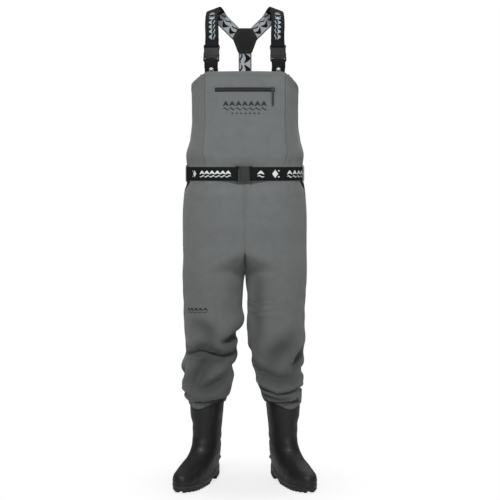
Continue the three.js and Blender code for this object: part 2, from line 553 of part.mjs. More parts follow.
const TAB_END = 1203; // where the front tabs end, inside the bib
for (const [name, side] of SIDES) {
  const frame = new THREE.Matrix4().makeRotationZ(side * BRACE_YAW)
    .multiply(new THREE.Matrix4().makeRotationX(-BRACE_TILT))
    .setPosition(side * BRACE_X, -104.5, BRACE_BUCKLE_HEIGHT);
  const wide = vec(side, 0, 0).transformDirection(frame);
  const place = (point) => point.applyMatrix4(frame);
  addBuckle(`brace_buckle_${name}`, frame);

  // Inside the bib the tab lies along the chord between its own two edges.
  const insideAt = (x, z) => {
    const bend = Math.asin(Math.max(0, x - flatHalf(z)) / (halfWidth(z) - flatHalf(z)));
    return -(frontDepth(z) - FABRIC) * Math.cos(bend);
  };
  const tabInside = (z) => {
    const edges = [-1, 1].map((edge) => insideAt(BRACE_X + (edge * WEBBING_WIDTH) / 2, z));
    const bulge = (WEBBING_WIDTH / 2) ** 2 / (2 * BIB_BEND); // of the bib beyond that chord
    return vec(side * BRACE_X, (edges[0] + edges[1]) / 2 + WEBBING / 2 + bulge + 1, z);
  };
  const down = loopPoints(PLUG_BAR, -1, 16).map(place);
  const tab = [...down, place(vec(0, -2, PLUG_BAR - 16)), tabInside(BIB_TOP + 3), tabInside(BIB_TOP - 12),
    tabInside(TAB_END)];
  add(`brace_tab_${name}`, strap(tab, () => wide), "webbing");

  const up = loopPoints(SOCKET_BAR, 1, 22).map(place);
  const onYoke = (x, z) => vec(side * x, 0, z).applyMatrix4(yokeFrame);
  const shoulderPoint = (inward, y, above) => vec(side * (BRACE_X - inward), y, YOKE_HEIGHT + above);
  const route = [place(vec(0, -3, SOCKET_BAR + 6)), place(vec(0, -3, SOCKET_BAR + 30)),
    shoulderPoint(0, -66, 35), shoulderPoint(1, -34, 67), shoulderPoint(4, 2, 85),
    shoulderPoint(13, 42, 81), onYoke(69, 62), onYoke(50, 43), onYoke(32, 25), onYoke(18, 11)];
  const path = along(route, 30);
  const shoulder = vec(side * 0.93, -0.1, -0.36);
  const blade = vec(side, 0, -1).transformDirection(yokeFrame);
  const lean = (i) => {
    const t = i / (path.length - 1);
    return wide.clone().lerp(shoulder, ease(t, 0.15, 0.5)).lerp(blade, ease(t, 0.6, 0.8)).normalize();
  };
  const split = 14; // the stretch below this point shortens when the buckle is let go
  const front = path.slice(0, split + 1);
  add(`brace_front_${name}`, strap([...up.slice(0, -1), ...front], (i) => (i < up.length - 1 ? wide
    : lean(i - up.length + 1))), "webbing");
  const step = path[split + 1].clone().sub(path[split]).setLength(3 * GAP);
  const rest = [path[split].clone().add(step), ...path.slice(split + 1)];
  add(`brace_back_${name}`, strap(rest, (i) => lean(i + split)), "webbing");
}

const REAR_END = BIB_BACK_TOP - 42;
const rearFace = (z) => vec(0, backDepth(z) - FABRIC - GAP - WEBBING / 2 - 0.2, z);
const rearRoute = [...[-20, -34, -48].map((z) => vec(0, 0, z).applyMatrix4(yokeFrame)),
  vec(0, 113, YOKE_HEIGHT - 95), vec(0, 113.5, BIB_BACK_TOP + 65), rearFace(BIB_BACK_TOP + 4),
  rearFace(BIB_BACK_TOP - 12), rearFace(REAR_END)];
const rearSteps = Math.round((YOKE_HEIGHT - REAR_END) / 19.4);
add("rear_strap", strap(along(rearRoute, rearSteps), () => vec(1, 0, 0)), "webbing");

// ---------------------------------------------------------------- belt
const BELT_HEIGHT = WAIST_SEAM;
const beltOffset = -(GAP + 0.4 + WEBBING / 2);
const buckleY = -(frontDepth(BELT_HEIGHT) + GAP + BUCKLE.halfThickness + 0.2);
const beltFrame = new THREE.Matrix4().makeBasis(vec(0, 0, -1), vec(0, 1, 0), vec(1, 0, 0))
  .setPosition(BELT_BUCKLE_X, buckleY, BELT_HEIGHT);
addBuckle("belt_buckle", beltFrame);
const up = () => vec(0, 0, 1);
const onBelt = (u) => torso(u, BELT_HEIGHT, beltOffset);
const girthPoints = (from, to, count) => Array.from({ length: count + 1 }, (_, i) =>
  onBelt(mix(from, to, i / count)));
const beltLoopAt = 1.86; // girth position of the side loops
const RIGHT_END = 8 - beltLoopAt;
const socketLoop = loopPoints(SOCKET_BAR, 1, 20).map((point) => point.applyMatrix4(beltFrame));
const plugLoop = loopPoints(PLUG_BAR, -1, 20).map((point) => point.applyMatrix4(beltFrame));
add("belt_webbing", strap([...socketLoop, ...girthPoints(0.92, RIGHT_END, 60)], up), "webbing");
add("belt_front_right", strap([...plugLoop, ...girthPoints(-0.95, -beltLoopAt + 0.006, 14)], up), "webbing");

// Fabric loops hold the belt at both sides and at the back.
function beltLoop(u, width) {
  const reach = WEBBING + 1.6;
  const edge = WEBBING_WIDTH / 2 + 2;
  const heights = [edge + 4, edge + 2.2, edge, 12, -12, -edge, -edge - 2.2, -edge - 4];
  const outs = [1.2, 1.4, reach, reach + 0.4, reach + 0.4, reach, 1.4, 1.2];
  const points = heights.map((dz, i) => torso(u, BELT_HEIGHT + dz, -outs[i] - GAP));
  const across = torso(u + 0.02, BELT_HEIGHT, 0).sub(torso(u - 0.02, BELT_HEIGHT, 0)).setZ(0);
  return strap(points, () => across, width, 1.2);
}
add("belt_loop_left", beltLoop(beltLoopAt, 24), "fabric");
add("belt_loop_right", beltLoop(8 - beltLoopAt, 24), "fabric");
add("belt_loop_back", beltLoop(4, 30), "fabric");

// ---------------------------------------------------------------- origin on the floor
const bounds = new THREE.Box3().setFromObject(waders);
const centre = bounds.getCenter(vec(0, 0, 0));
waders.position.set(-centre.x, -centre.y, -bounds.min.z);

export default waders;
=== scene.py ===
# %% [markdown]
# # Chest waders
#
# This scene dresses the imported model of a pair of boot-foot chest waders. Each hard part keeps
# its CAD solid and gets a bevel and a material. Each soft part is rebuilt as a fine surface that
# follows the same outline and adds the cloth's folds, seams, stitching and prints.
# Sizes below are in millimetres in the torso's own frame: z up, the wearer faces -y, and the
# torso's axis is at y 0. `world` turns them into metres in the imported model's frame.

# %% Frame
import math

import bmesh
import bpy
import numpy as np
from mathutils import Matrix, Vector

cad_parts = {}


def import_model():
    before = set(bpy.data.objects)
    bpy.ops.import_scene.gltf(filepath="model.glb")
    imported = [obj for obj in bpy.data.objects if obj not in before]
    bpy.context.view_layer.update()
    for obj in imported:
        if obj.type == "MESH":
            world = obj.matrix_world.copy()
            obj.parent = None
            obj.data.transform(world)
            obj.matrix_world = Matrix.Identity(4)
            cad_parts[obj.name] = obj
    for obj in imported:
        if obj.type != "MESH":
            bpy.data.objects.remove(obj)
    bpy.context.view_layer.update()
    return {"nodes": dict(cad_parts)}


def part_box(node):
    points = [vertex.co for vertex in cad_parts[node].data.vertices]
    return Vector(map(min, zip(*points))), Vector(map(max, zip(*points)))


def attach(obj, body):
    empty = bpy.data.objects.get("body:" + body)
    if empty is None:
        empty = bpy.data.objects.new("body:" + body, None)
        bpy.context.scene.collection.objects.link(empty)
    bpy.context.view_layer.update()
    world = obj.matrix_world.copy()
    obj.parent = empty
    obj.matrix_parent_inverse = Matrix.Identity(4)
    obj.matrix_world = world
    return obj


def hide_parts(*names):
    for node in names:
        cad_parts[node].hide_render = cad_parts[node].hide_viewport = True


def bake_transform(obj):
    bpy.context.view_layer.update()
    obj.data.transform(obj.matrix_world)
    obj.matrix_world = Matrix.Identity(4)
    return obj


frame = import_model()
nodes = frame["nodes"]
FRONT_AT_ZIP = 118.0
TAPE_BEHIND = 2.8
axis_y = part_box("zip_tape")[0].y * 1000 + FRONT_AT_ZIP - TAPE_BEHIND
SIDES = (("left", 1), ("right", -1))


def world(points):
    """Millimetres in the torso's frame to metres in the model's frame."""
    return (np.asarray(points, float) + (0, axis_y, 0)) / 1000


print("the torso's axis is at y =", round(axis_y, 2), "mm")

# %% [markdown]
# ## Curves and outlines
#
# `profile` is a smooth curve through a few stations. The torso's section has a flat front and
# back joined by quarter ellipses, and `u` runs round it: 0 front, 2 left side, 4 back, 6 right.

# %% Outlines


def profile(*stations):
    p = np.array(sorted(stations), float)
    x, y = p[:, 0], p[:, 1]
    h = np.diff(x)
    slope = np.diff(y) / h
    tangent = np.zeros(len(x))
    pair = slope[:-1] * slope[1:]
    total = np.where(pair > 0, slope[:-1] + slope[1:], 1)
    tangent[1:-1] = np.where(pair > 0, 2 * pair / total, 0)

    def at(v):
        v = np.clip(v, x[0], x[-1])
        i = np.clip(np.searchsorted(x, v, side="right") - 1, 0, len(h) - 1)
        t = (v - x[i]) / h[i]
        rise = y[i] * (1 + 2 * t) * (1 - t) ** 2 + y[i + 1] * t * t * (3 - 2 * t)
        return rise + h[i] * t * (1 - t) * (tangent[i] * (1 - t) - tangent[i + 1] * t)

    return at


def ease(v, low, high):
    t = np.clip((v - low) / (high - low), 0, 1)
    return t * t * (3 - 2 * t)


WAIST, CROTCH, HEM = 937.0, 720.0, 246.0
BIB_TOP, BAND = 1237.0, 24.0
half_width = profile((BIB_TOP, 163), (1156, 161), (1100, 161), (1040, 167), (995, 178),
                     (WAIST + BAND, 174.5), (WAIST - BAND, 174.5), (880, 183), (806, 187.5), (CROTCH, 187))
front_depth = profile((BIB_TOP, 118), (1120, 118), (1020, 122), (990, 122), (WAIST + BAND, 118),
                      (WAIST - BAND, 118), (870, 126), (790, 126), (CROTCH, 116))
back_depth = profile((BIB_TOP, 118), (1100, 116), (1000, 108), (WAIST + BAND, 103),
                     (WAIST - BAND, 103), (880, 118), (820, 130), (770, 130), (CROTCH, 118))
flat_half = profile((BIB_TOP, 97), (1000, 97), (WAIST + BAND, 84), (WAIST - BAND, 84), (860, 62),
                    (CROTCH, 45))
top_edge = profile((0, BIB_TOP), (1.1, BIB_TOP - 1), (1.34, BIB_TOP - 12), (1.58, BIB_TOP - 27),
                   (2, 1192), (3, 1123), (4, 1115))


def torso(u, z, inset=0.0):
    u, z = np.broadcast_arrays(np.asarray(u, float) % 8, np.asarray(z, float))
    mirror = np.where(u > 4, -1.0, 1.0)
    half = np.where(u > 4, 8 - u, u)
    flat = flat_half(z)
    side = half_width(z) - flat - inset
    front, back = front_depth(z) - inset, back_depth(z) - inset
    angle = (half % 1) * np.pi / 2
    x = np.select([half <= 1, half < 2, half < 3], [flat * half, flat + side * np.sin(angle),
                  flat + side * np.cos(angle)], flat * (4 - half))
    y = np.select([half <= 1, half < 2, half < 3], [-front, -front * np.cos(angle), back * np.sin(angle)],
                  back)
    return np.stack([mirror * x, y, z], -1)


# Each leg's silhouette, its creases and its hem differ: height, then distance from the middle.
INNER = {"left": profile((CROTCH, 0.6), (650, 1.2), (620, 2), (548, 6), (484, 6), (432, 11), (387, 19),
                         (341, 28), (293, 38), (279, 43), (261, 46), (240, 50)),
         "right": profile((CROTCH, 0.6), (650, 1.5), (620, 3), (548, 10), (484, 12), (466, 14), (441, 28),
                          (400, 27), (366, 32), (340, 37), (300, 39), (260, 49), (240, 56))}
OUTER = {"left": profile((CROTCH, 187), (640, 188), (548, 183), (484, 180), (432, 181), (387, 175),
                         (341, 176),
                         (297, 178.5), (286, 170), (263, 175), (240, 166)),
         "right": profile((CROTCH, 187), (640, 188), (548, 185), (484, 184.5), (441, 183), (400, 180),
                          (366, 190), (340, 191), (300, 190), (262, 185), (240, 172))}
leg_front = profile((CROTCH, 116), (640, 98), (500, 88), (440, 90), (380, 82), (300, 76), (240, 66))
leg_back = profile((CROTCH, 118), (640, 100), (500, 86), (440, 84), (380, 92), (300, 98), (240, 94))
CORNER = 0.75


def leg(name, k, z, inset=0.0):
    """k runs round one leg: 0 front middle, 0.375 outer side, 0.75 back middle, 1 front again."""
    k, z = np.broadcast_arrays(np.asarray(k, float) % 1, np.asarray(z, float))
    on_arc = k <= CORNER
    share = np.where(on_arc, k / CORNER, (k - CORNER) / (1 - CORNER))
    split = torso(4 * np.where(on_arc, share, 0), np.full_like(z, CROTCH), inset)
    front, back = front_depth(CROTCH) - inset, back_depth(CROTCH) - inset
    split[..., 1] = np.where(on_arc, split[..., 1], back + share * (-front - back))
    split[..., 0] = np.maximum(np.where(on_arc, split[..., 0], 0), 0.4 + inset)
    angle = (2 * k - 0.75) * np.pi
    inner, outer = INNER[name](z), OUTER[name](z)
    depth = np.where(np.sin(angle) < 0, leg_front(z), leg_back(z)) - inset
    x = (inner + outer) / 2 + ((outer - inner) / 2 - inset) * np.cos(angle)
    loop = np.stack([x, depth * np.sin(angle), z], -1)
    morph = ease(CROTCH - z, 0, 80)[..., None]
    point = split * (1 - morph) + loop * morph
    point[..., 2] = z
    return point


# %% [markdown]
# ## Mesh helpers
#
# Every soft surface is a grid of points. `grid_faces` joins them up, `new_object` makes the mesh
# with its UV map in metres, and `thicken` gives it its cloth thickness and its lining.

# %% Mesh helpers


def new_object(name, verts, faces, materials=(), uv=None):
    mesh = bpy.data.meshes.new(name)
    mesh.from_pydata(np.asarray(verts).tolist(), [], [list(map(int, f)) for f in faces])
    if uv is not None:
        layer = mesh.uv_layers.new(name="UVMap")
        index = np.empty(len(mesh.loops), np.int32)
        mesh.loops.foreach_get("vertex_index", index)
        layer.data.foreach_set("uv", np.asarray(uv, np.float32)[index].ravel())
    mesh.shade_smooth()
    obj = bpy.data.objects.new(name, mesh)
    bpy.context.collection.objects.link(obj)
    for m in materials:
        mesh.materials.append(m)
    return obj


def grid_faces(rows, columns, loop=False, offset=0):
    across = columns if loop else columns - 1
    r, c = np.meshgrid(np.arange(rows - 1), np.arange(across), indexing="ij")
    a, b = r * columns + c, r * columns + (c + 1) % columns
    return (np.stack([a, b, b + columns, a + columns], -1).reshape(-1, 4) + offset)


def lengths_uv(points):
    """UV in metres: along the rows and up the columns of a grid of points in millimetres."""
    along = np.linalg.norm(np.diff(points, axis=1, prepend=points[:, :1]), axis=-1).cumsum(1)
    up = np.linalg.norm(np.diff(points, axis=0, prepend=points[:1]), axis=-1).cumsum(0)
    return np.stack([along - along.mean(1, keepdims=True), up], -1) / 1000


def normals(points, loop=False):
    if loop:
        ext = np.concatenate([points[:, -1:], points, points[:, :1]], 1)
        across = np.gradient(ext, axis=1)[:, 1:-1]
    else:
        across = np.gradient(points, axis=1)
    n = np.cross(across, np.gradient(points, axis=0))
    return n / np.maximum(np.linalg.norm(n, axis=-1, keepdims=True), 1e-9)


def apply_modifiers(obj):
    graph = bpy.context.evaluated_depsgraph_get()
    mesh = bpy.data.meshes.new_from_object(obj.evaluated_get(graph))
    old = obj.data
    obj.modifiers.clear()
    obj.data = mesh
    bpy.data.meshes.remove(old)
    mesh.name = obj.name
    return obj


def face_outwards(obj):
    """Turns a mesh's faces over if they point inwards."""
    bm = bmesh.new()
    bm.from_mesh(obj.data)
    if bm.calc_volume(signed=True) < 0:
        bmesh.ops.reverse_faces(bm, faces=bm.faces)
    bm.to_mesh(obj.data)
    bm.free()


def thicken(obj, thickness, inside=1):
    """Adds thickness in millimetres behind a surface, with the material inside on its back."""
    solid = obj.modifiers.new("Thickness", "SOLIDIFY")
    solid.thickness, solid.offset = thickness / 1000, -1
    solid.material_offset = inside
    solid.material_offset_rim = 0
    return apply_modifiers(obj)


def waves(points, size, seed, count=7):
    """A smooth field from -1 to 1 that changes over about size millimetres."""
    rng = np.random.default_rng(seed)
    total = np.zeros(points.shape[:-1])
    for _ in range(count):
        d = rng.normal(size=3)
        d *= rng.uniform(0.6, 1.5) * 2 * np.pi / size / np.linalg.norm(d)
        total += np.sin(points @ d + rng.uniform(0, 2 * np.pi))
    return total / math.sqrt(count * 2)


print("helpers ready")

# %% [markdown]
# ## Materials
#
# Each material is procedural: cloth has a woven bump on its UV map, a soft colour variation on
# object coordinates, painted shade towards the floor and painted shade in its creases from the `fold`
# attribute of its mesh.

# %% Node helpers


def linear(code, alpha=1.0):
    channels = [int(code[i:i + 2], 16) / 255 for i in (1, 3, 5)]
    return tuple(c / 12.92 if c <= 0.04045 else ((c + 0.055) / 1.055) ** 2.4 for c in channels) + (alpha,)


def add(tree, kind, inputs=None, **settings):
    """Adds a node; inputs maps its sockets to values or to other nodes' outputs."""
    node = tree.nodes.new(kind)
    for key, value in settings.items():
        setattr(node, key, value)
    for key, value in (inputs or {}).items():
        if isinstance(value, bpy.types.NodeSocket):
            tree.links.new(value, node.inputs[key])
        else:
            node.inputs[key].default_value = value
    return node


def new_material(name):
    material = bpy.data.materials.new(name)
    material.use_nodes = True
    tree = material.node_tree
    return material, tree, tree.nodes["Principled BSDF"]


def maths(tree, operation, a, b=0.0):
    return add(tree, "ShaderNodeMath", {0: a, 1: b}, operation=operation).outputs[0]


def mix_colour(tree, factor, a, b, blend="MIX"):
    node = add(tree, "ShaderNodeMix", {0: factor, 6: a, 7: b}, data_type="RGBA", blend_type=blend)
    return node.outputs[2]


def cloth(name, colour, roughness=0.8, pitch=0.9, bump=0.25, mottle=0.12, sheen=0.15, crease_shade=0.35, painted_shade_low=None):
    """Woven cloth; lower is its painted shade colour near the floor, darkening the cloth towards it."""
    material, tree, shader = new_material(name)
    place = add(tree, "ShaderNodeTexCoord")
    uv = add(tree, "ShaderNodeUVMap").outputs[0]
    turned = add(tree, "ShaderNodeMapping", {0: uv, 2: (0, 0, math.radians(38))}).outputs[0]
    wave = [add(tree, "ShaderNodeTexWave",
                {0: turned, "Scale": 1000 / pitch / (2 * math.pi), "Distortion": 0.4,
                "Detail": 1.0}, bands_direction=axis).outputs["Fac"] for axis in "XY"]
    weave = maths(tree, "MULTIPLY", wave[0], wave[1])
    cloud = add(tree, "ShaderNodeTexNoise",
                {0: place.outputs["Object"], "Scale": 38.0, "Detail": 6.0, "Roughness": 0.6}).outputs[0]
    grain = add(tree, "ShaderNodeTexNoise",
                {0: place.outputs["Object"], "Scale": 260.0, "Detail": 2.0}).outputs[0]
    base = linear(colour)
    tone = mix_colour(tree, cloud, tuple(c * (1 - mottle) for c in base[:3]) + (1,),
                      tuple(min(1, c * (1 + mottle)) for c in base[:3]) + (1,))
    # Painted shade: the cloth darkens towards the floor, as if less light reached it there.
    if painted_shade_low:
        height = add(tree, "ShaderNodeSeparateXYZ", {0: place.outputs["Object"]}).outputs[2]
        share = add(tree, "ShaderNodeMapRange", {0: height, 1: 0.25, 2: 0.75, 3: 1.0, 4: 0.0}).outputs[0]
        ratio = tuple(a / b for a, b in zip(linear(painted_shade_low)[:3], base[:3])) + (1,)
        tone = mix_colour(tree, share, tone, mix_colour(tree, 1.0, tone, ratio, "MULTIPLY"))
    # Painted shade: the fold attribute darkens the cloth in its creases.
    fold = add(tree, "ShaderNodeAttribute", attribute_name="fold").outputs["Fac"]
    tone = mix_colour(tree, maths(tree, "MULTIPLY", fold, crease_shade), tone,
                      tuple(c * 0.28 for c in base[:3]) + (1,))
    tone = mix_colour(tree, maths(tree, "MULTIPLY", weave, 0.14), tone,
                      tuple(c * 0.6 for c in base[:3]) + (1,))
    tree.links.new(tone, shader.inputs["Base Color"])
    rough = add(tree, "ShaderNodeMapRange", {0: grain, 3: roughness - 0.08, 4: roughness + 0.08}).outputs[0]
    tree.links.new(rough, shader.inputs["Roughness"])
    shader.inputs["Sheen Weight"].default_value = sheen
    shader.inputs["Sheen Roughness"].default_value = 0.6
    shader.inputs["Specular IOR Level"].default_value = 0.35
    rough_bump = add(tree, "ShaderNodeBump", {"Strength": 0.12, "Distance": 0.0006, "Height": grain})
    fine = add(tree, "ShaderNodeBump", {"Strength": bump, "Distance": 0.0004, "Height": weave,
                                        "Normal": rough_bump.outputs[0]})
    tree.links.new(fine.outputs[0], shader.inputs["Normal"])
    return material


def webbing(name, colour, roughness=0.7, sheen=0.1):
    """Narrow woven tape: fine ribs across it and a flat selvedge along both edges."""
    material, tree, shader = new_material(name)
    uv = add(tree, "ShaderNodeUVMap").outputs[0]
    ribs = add(tree, "ShaderNodeTexWave", {0: uv, "Scale": 1000 / 1.3 / (2 * math.pi), "Distortion": 0.2},
               bands_direction="X").outputs["Fac"]
    cords = add(tree, "ShaderNodeTexWave", {0: uv, "Scale": 1000 / 0.9 / (2 * math.pi), "Distortion": 0.3},
                bands_direction="Y").outputs["Fac"]
    height = maths(tree, "MULTIPLY", ribs, cords)
    grain = add(tree, "ShaderNodeTexNoise", {0: uv, "Scale": 700.0, "Detail": 3.0}).outputs[0]
    base = linear(colour)
    tone = mix_colour(tree, grain, tuple(c * 0.75 for c in base[:3]) + (1,),
                      tuple(min(1, c * 1.25) for c in base[:3]) + (1,))
    tone = mix_colour(tree, maths(tree, "MULTIPLY", height, 0.35), tone,
                      tuple(c * 0.55 for c in base[:3]) + (1,))
    tree.links.new(tone, shader.inputs["Base Color"])
    shader.inputs["Roughness"].default_value = roughness
    shader.inputs["Sheen Weight"].default_value = sheen
    shader.inputs["Specular IOR Level"].default_value = 0.25
    bump = add(tree, "ShaderNodeBump", {"Strength": 0.4, "Distance": 0.0005, "Height": height})
    tree.links.new(bump.outputs[0], shader.inputs["Normal"])
    return material


def moulded(name, colour, roughness, grain_size=900.0, bump=0.15, vary=0.1, scuff=0.25, spec=0.5):
    """Moulded rubber or plastic: fine grain, uneven gloss and slightly paler worn patches."""
    material, tree, shader = new_material(name)
    place = add(tree, "ShaderNodeTexCoord").outputs["Object"]
    grain = add(tree, "ShaderNodeTexNoise", {0: place, "Scale": grain_size, "Detail": 3.0}).outputs[0]
    patch = add(tree, "ShaderNodeTexNoise",
                {0: place, "Scale": 28.0, "Detail": 6.0, "Roughness": 0.65}).outputs[0]
    base = linear(colour)
    tone = mix_colour(tree, maths(tree, "MULTIPLY", patch, scuff), base,
                      tuple(min(1, c * 1.9 + 0.01) for c in base[:3]) + (1,))
    tree.links.new(tone, shader.inputs["Base Color"])
    rough = add(tree, "ShaderNodeMapRange",
                {0: patch, 1: 0.3, 2: 0.7, 3: roughness - vary, 4: roughness + vary}).outputs[0]
    tree.links.new(rough, shader.inputs["Roughness"])
    shader.inputs["Specular IOR Level"].default_value = spec
    fine = add(tree, "ShaderNodeBump", {"Strength": bump, "Distance": 0.0003, "Height": grain})
    tree.links.new(fine.outputs[0], shader.inputs["Normal"])
    return material


# %% [markdown]
# ## The materials themselves
#
# The fabric is a mid grey laminate with painted shade that darkens it towards the boots. The webbing is black
# outside and pale inside, and the plastics and rubbers differ in gloss and grain.

# %% Materials
# Painted shade: the fabric darkens towards the floor and in its creases.
FABRIC = cloth("coated_fabric", "#6A6D6D", painted_shade_low="#545756", crease_shade=0.92, mottle=0.16)
LINING = cloth("fabric_lining", "#8D918F", roughness=0.85, pitch=1.4)
THREAD = cloth("sewing_thread", "#4A4E50", roughness=0.6, bump=0.1)
TAPE = cloth("seam_tape", "#5D6162", roughness=0.55, bump=0.1)
LOOP = cloth("loop_fabric", "#232425", pitch=1.2)
WEB = webbing("black_webbing", "#0E0F10", 0.85, 0.0)
WEB_BACK = webbing("grey_webbing", "#B2B8BD", 0.8)
PRINT_PALE = webbing("pale_print", "#DCE4E2", 0.7)
PRINT_GREY = webbing("grey_print", "#99A5AB", 0.7)
PRINT_BLACK = webbing("black_print", "#0C0D0D", 0.85, 0.0)
PRINT_DARK = moulded("dark_print", "#1B1E20", 0.7, bump=0.05)
PLASTIC = moulded("black_plastic", "#0D0E0E", 0.55, spec=0.3, grain_size=1400.0)
# Painted reflection: the belt buckle's black plastic is paler than the other buckles' to stand in for its
# reflections.
BELT_PLASTIC_PAINTED_SHEEN = moulded("belt_plastic_painted_sheen", "#1E201F", 0.45, grain_size=1400.0)
ZIP = moulded("zip_plastic", "#22262A", 0.45)
ZIP_TAPE = cloth("zip_tape", "#191D20", roughness=0.6, pitch=0.7)
RUBBER = moulded("boot_rubber", "#0B0C0B", 0.52, bump=0.12, vary=0.05, scuff=0.3, spec=0.45)
# Painted highlight: the sole's bead is paler where its top edge catches the light.
BEAD_HIGHLIGHT = moulded("sole_bead_highlight", "#4A4C4A", 0.5, scuff=0.3)
SOLE = moulded("sole_rubber", "#151615", 0.6, scuff=0.5)
FOAM = cloth("insole_foam", "#3B3D3F", pitch=1.6)
YOKE = cloth("yoke_laminate", "#0F1011", roughness=0.6, pitch=0.8)
print(len(bpy.data.materials), "materials")

# %% [markdown]
# ## Stitches
#
# A stitch line is a curve on the cloth. One Geometry Nodes group sets a short round thread on it
# every few millimetres.

# %% Stitch nodes


def new_group(name, **sizes):
    """A geometry node group: geometry in and out, the named sizes and a material; and its inputs."""
    group = bpy.data.node_groups.new(name, "GeometryNodeTree")
    face = group.interface
    face.new_socket("Geometry", in_out="INPUT", socket_type="NodeSocketGeometry")
    for label, value in sizes.items():
        face.new_socket(label, in_out="INPUT", socket_type="NodeSocketFloat").default_value = value
    face.new_socket("Material", in_out="INPUT", socket_type="NodeSocketMaterial")
    face.new_socket("Geometry", in_out="OUTPUT", socket_type="NodeSocketGeometry")
    return group, add(group, "NodeGroupInput").outputs


def close_group(group, instances, material):
    """Makes the instances real, gives them their material and ends the group."""
    real = add(group, "GeometryNodeRealizeInstances", {0: instances.outputs[0]})
    done = add(group, "GeometryNodeSetMaterial", {0: real.outputs[0], "Material": material})
    add(group, "NodeGroupOutput", {0: done.outputs[0]})


def stitch_group():
    """A row of small threads along each path."""
    group, given = new_group("Stitches", Spacing=0.0036, Length=0.0026, Thickness=0.0007)
    dots = add(group, "GeometryNodeCurveToPoints", {"Curve": given["Geometry"], "Length": given["Spacing"]},
               mode="LENGTH")
    thread = add(group, "GeometryNodeMeshUVSphere", {"Segments": 6, "Rings": 4, "Radius": 0.5})
    size = add(group, "ShaderNodeCombineXYZ",
               {0: given["Thickness"], 1: given["Thickness"], 2: given["Length"]})
    turn = add(group, "FunctionNodeAlignRotationToVector", {"Vector": dots.outputs["Tangent"]}, axis="Z")
    laid = add(group, "GeometryNodeInstanceOnPoints",
               {"Points": dots.outputs["Points"], "Instance": thread.outputs[0],
               "Rotation": turn.outputs[0], "Scale": size.outputs[0]})
    close_group(group, laid, given["Material"])
    return group


STITCHES = stitch_group()


def node_object(name, group, base, **values):
    """Runs a node group on an object and keeps the result as a plain mesh object."""
    modifier = base.modifiers.new("Nodes", "NODES")
    modifier.node_group = group
    for item in group.interface.items_tree:
        if item.in_out == "INPUT" and item.name in values:
            modifier[item.identifier] = values[item.name]
    bpy.context.view_layer.update()
    graph = bpy.context.evaluated_depsgraph_get()
    mesh = bpy.data.meshes.new_from_object(base.evaluated_get(graph))
    bpy.data.objects.remove(base)
    mesh.name = name
    mesh.shade_smooth()
    obj = bpy.data.objects.new(name, mesh)
    bpy.context.collection.objects.link(obj)
    return obj


def curve_object(name, lines):
    curve = bpy.data.curves.new(name, "CURVE")
    curve.dimensions = "3D"
    for line in lines:
        spline = curve.splines.new("POLY")
        spline.points.add(len(line) - 1)
        spline.points.foreach_set("co", np.c_[line, np.ones(len(line))].ravel())
    obj = bpy.data.objects.new(name, curve)
    bpy.context.collection.objects.link(obj)
    return obj


def stitch(name, lines, material=THREAD, **sizes):
    """lines are lists of points in the torso's millimetres."""
    base = curve_object(name + "_path", [world(line) for line in lines])
    return node_object(name, STITCHES, base, Material=material, **sizes)


print("stitch group ready")

# %% [markdown]
# ## Trousers
#
# Each half of the trousers is one piece from the waist to the hem: an open half at the hips, and
# a closed loop below the fork. A crease is a path of (angle, height) points round the leg, where
# angle 0 is the front and 90 the outer side. It presses a valley into the cloth, with a ridge above.

# %% Creases
# path, width, depth, ridge, overhang: millimetres
CREASES = {
    "right": [
        ([(75, 396), (42, 405), (20, 409), (0, 402), (-30, 396), (-58, 400), (-85, 410)], 8.5, 15, 8, 6),
        ([(36, 422), (16, 424), (-6, 413), (-24, 402)], 10, 8, 1, 0),
        ([(50, 492), (26, 488), (8, 473), (-4, 452), (-12, 425)], 11, 5, 4, 2),
        ([(-26, 424), (-44, 440), (-62, 456), (-95, 464), (-130, 456)], 13, 12, 7, 8),
        ([(-6, 384), (6, 366), (20, 340), (38, 314), (52, 298)], 13, 9, 4, 0),
        ([(-60, 332), (-42, 324), (-15, 306), (9, 291), (22, 284)], 11, 8, 4, 1),
        ([(50, 381), (10, 377), (-40, 375)], 9, 3, 2, 0),
        ([(60, 352), (80, 330), (110, 318)], 9, 6, 3, 0),
        ([(-70, 372), (-100, 350), (-150, 345)], 10, 7, 4, 3),
        ([(120, 430), (160, 415), (200, 425), (240, 432)], 11, 9, 6, 4),
        ([(110, 372), (150, 360), (190, 366), (230, 352)], 9, 8, 5, 3),
        ([(130, 300), (170, 312), (220, 300), (260, 292)], 8, 7, 4, 2),
        ([(40, 268), (80, 272), (120, 266)], 6, 4, 2, 0),
    ],
    "left": [
        ([(44, 452), (31, 442), (8, 420), (-12, 396), (-28, 372)], 15, 6.5, 3, 1),
        ([(26, 354), (38, 363), (50, 376), (62, 394), (78, 410)], 10, 10, 4, 2),
        ([(-75, 358), (-48, 346), (-18, 334), (4, 326), (22, 328), (38, 320), (58, 306)], 12, 7, 4, 3),
        ([(-95, 302), (-62, 295), (-40, 288), (-16, 281), (-4, 279)], 5, 7, 4, 3),
        ([(-14, 275), (5, 279), (25, 284), (45, 289), (66, 293)], 5, 7, 4, 3),
        ([(-75, 274), (-30, 267), (0, 262), (24, 262)], 4, 4.5, 2.5, 1),
        ([(70, 352), (100, 340), (140, 346)], 9, 7, 4, 2),
        ([(-80, 400), (-110, 385), (-150, 392)], 10, 7, 4, 2),
        ([(130, 428), (170, 412), (220, 420)], 11, 9, 6, 4),
        ([(110, 312), (160, 322), (210, 310), (250, 306)], 8, 8, 5, 3),
        ([(80, 281), (130, 286), (180, 280), (240, 284)], 6, 6, 4, 2),
        ([(-100, 330), (-140, 338), (-175, 330)], 8, 6, 3, 2),
        ([(-42, 640), (-44, 560), (-44, 500), (-52, 440), (-60, 400)], 14, 4, 1.5, 0),
    ],
}


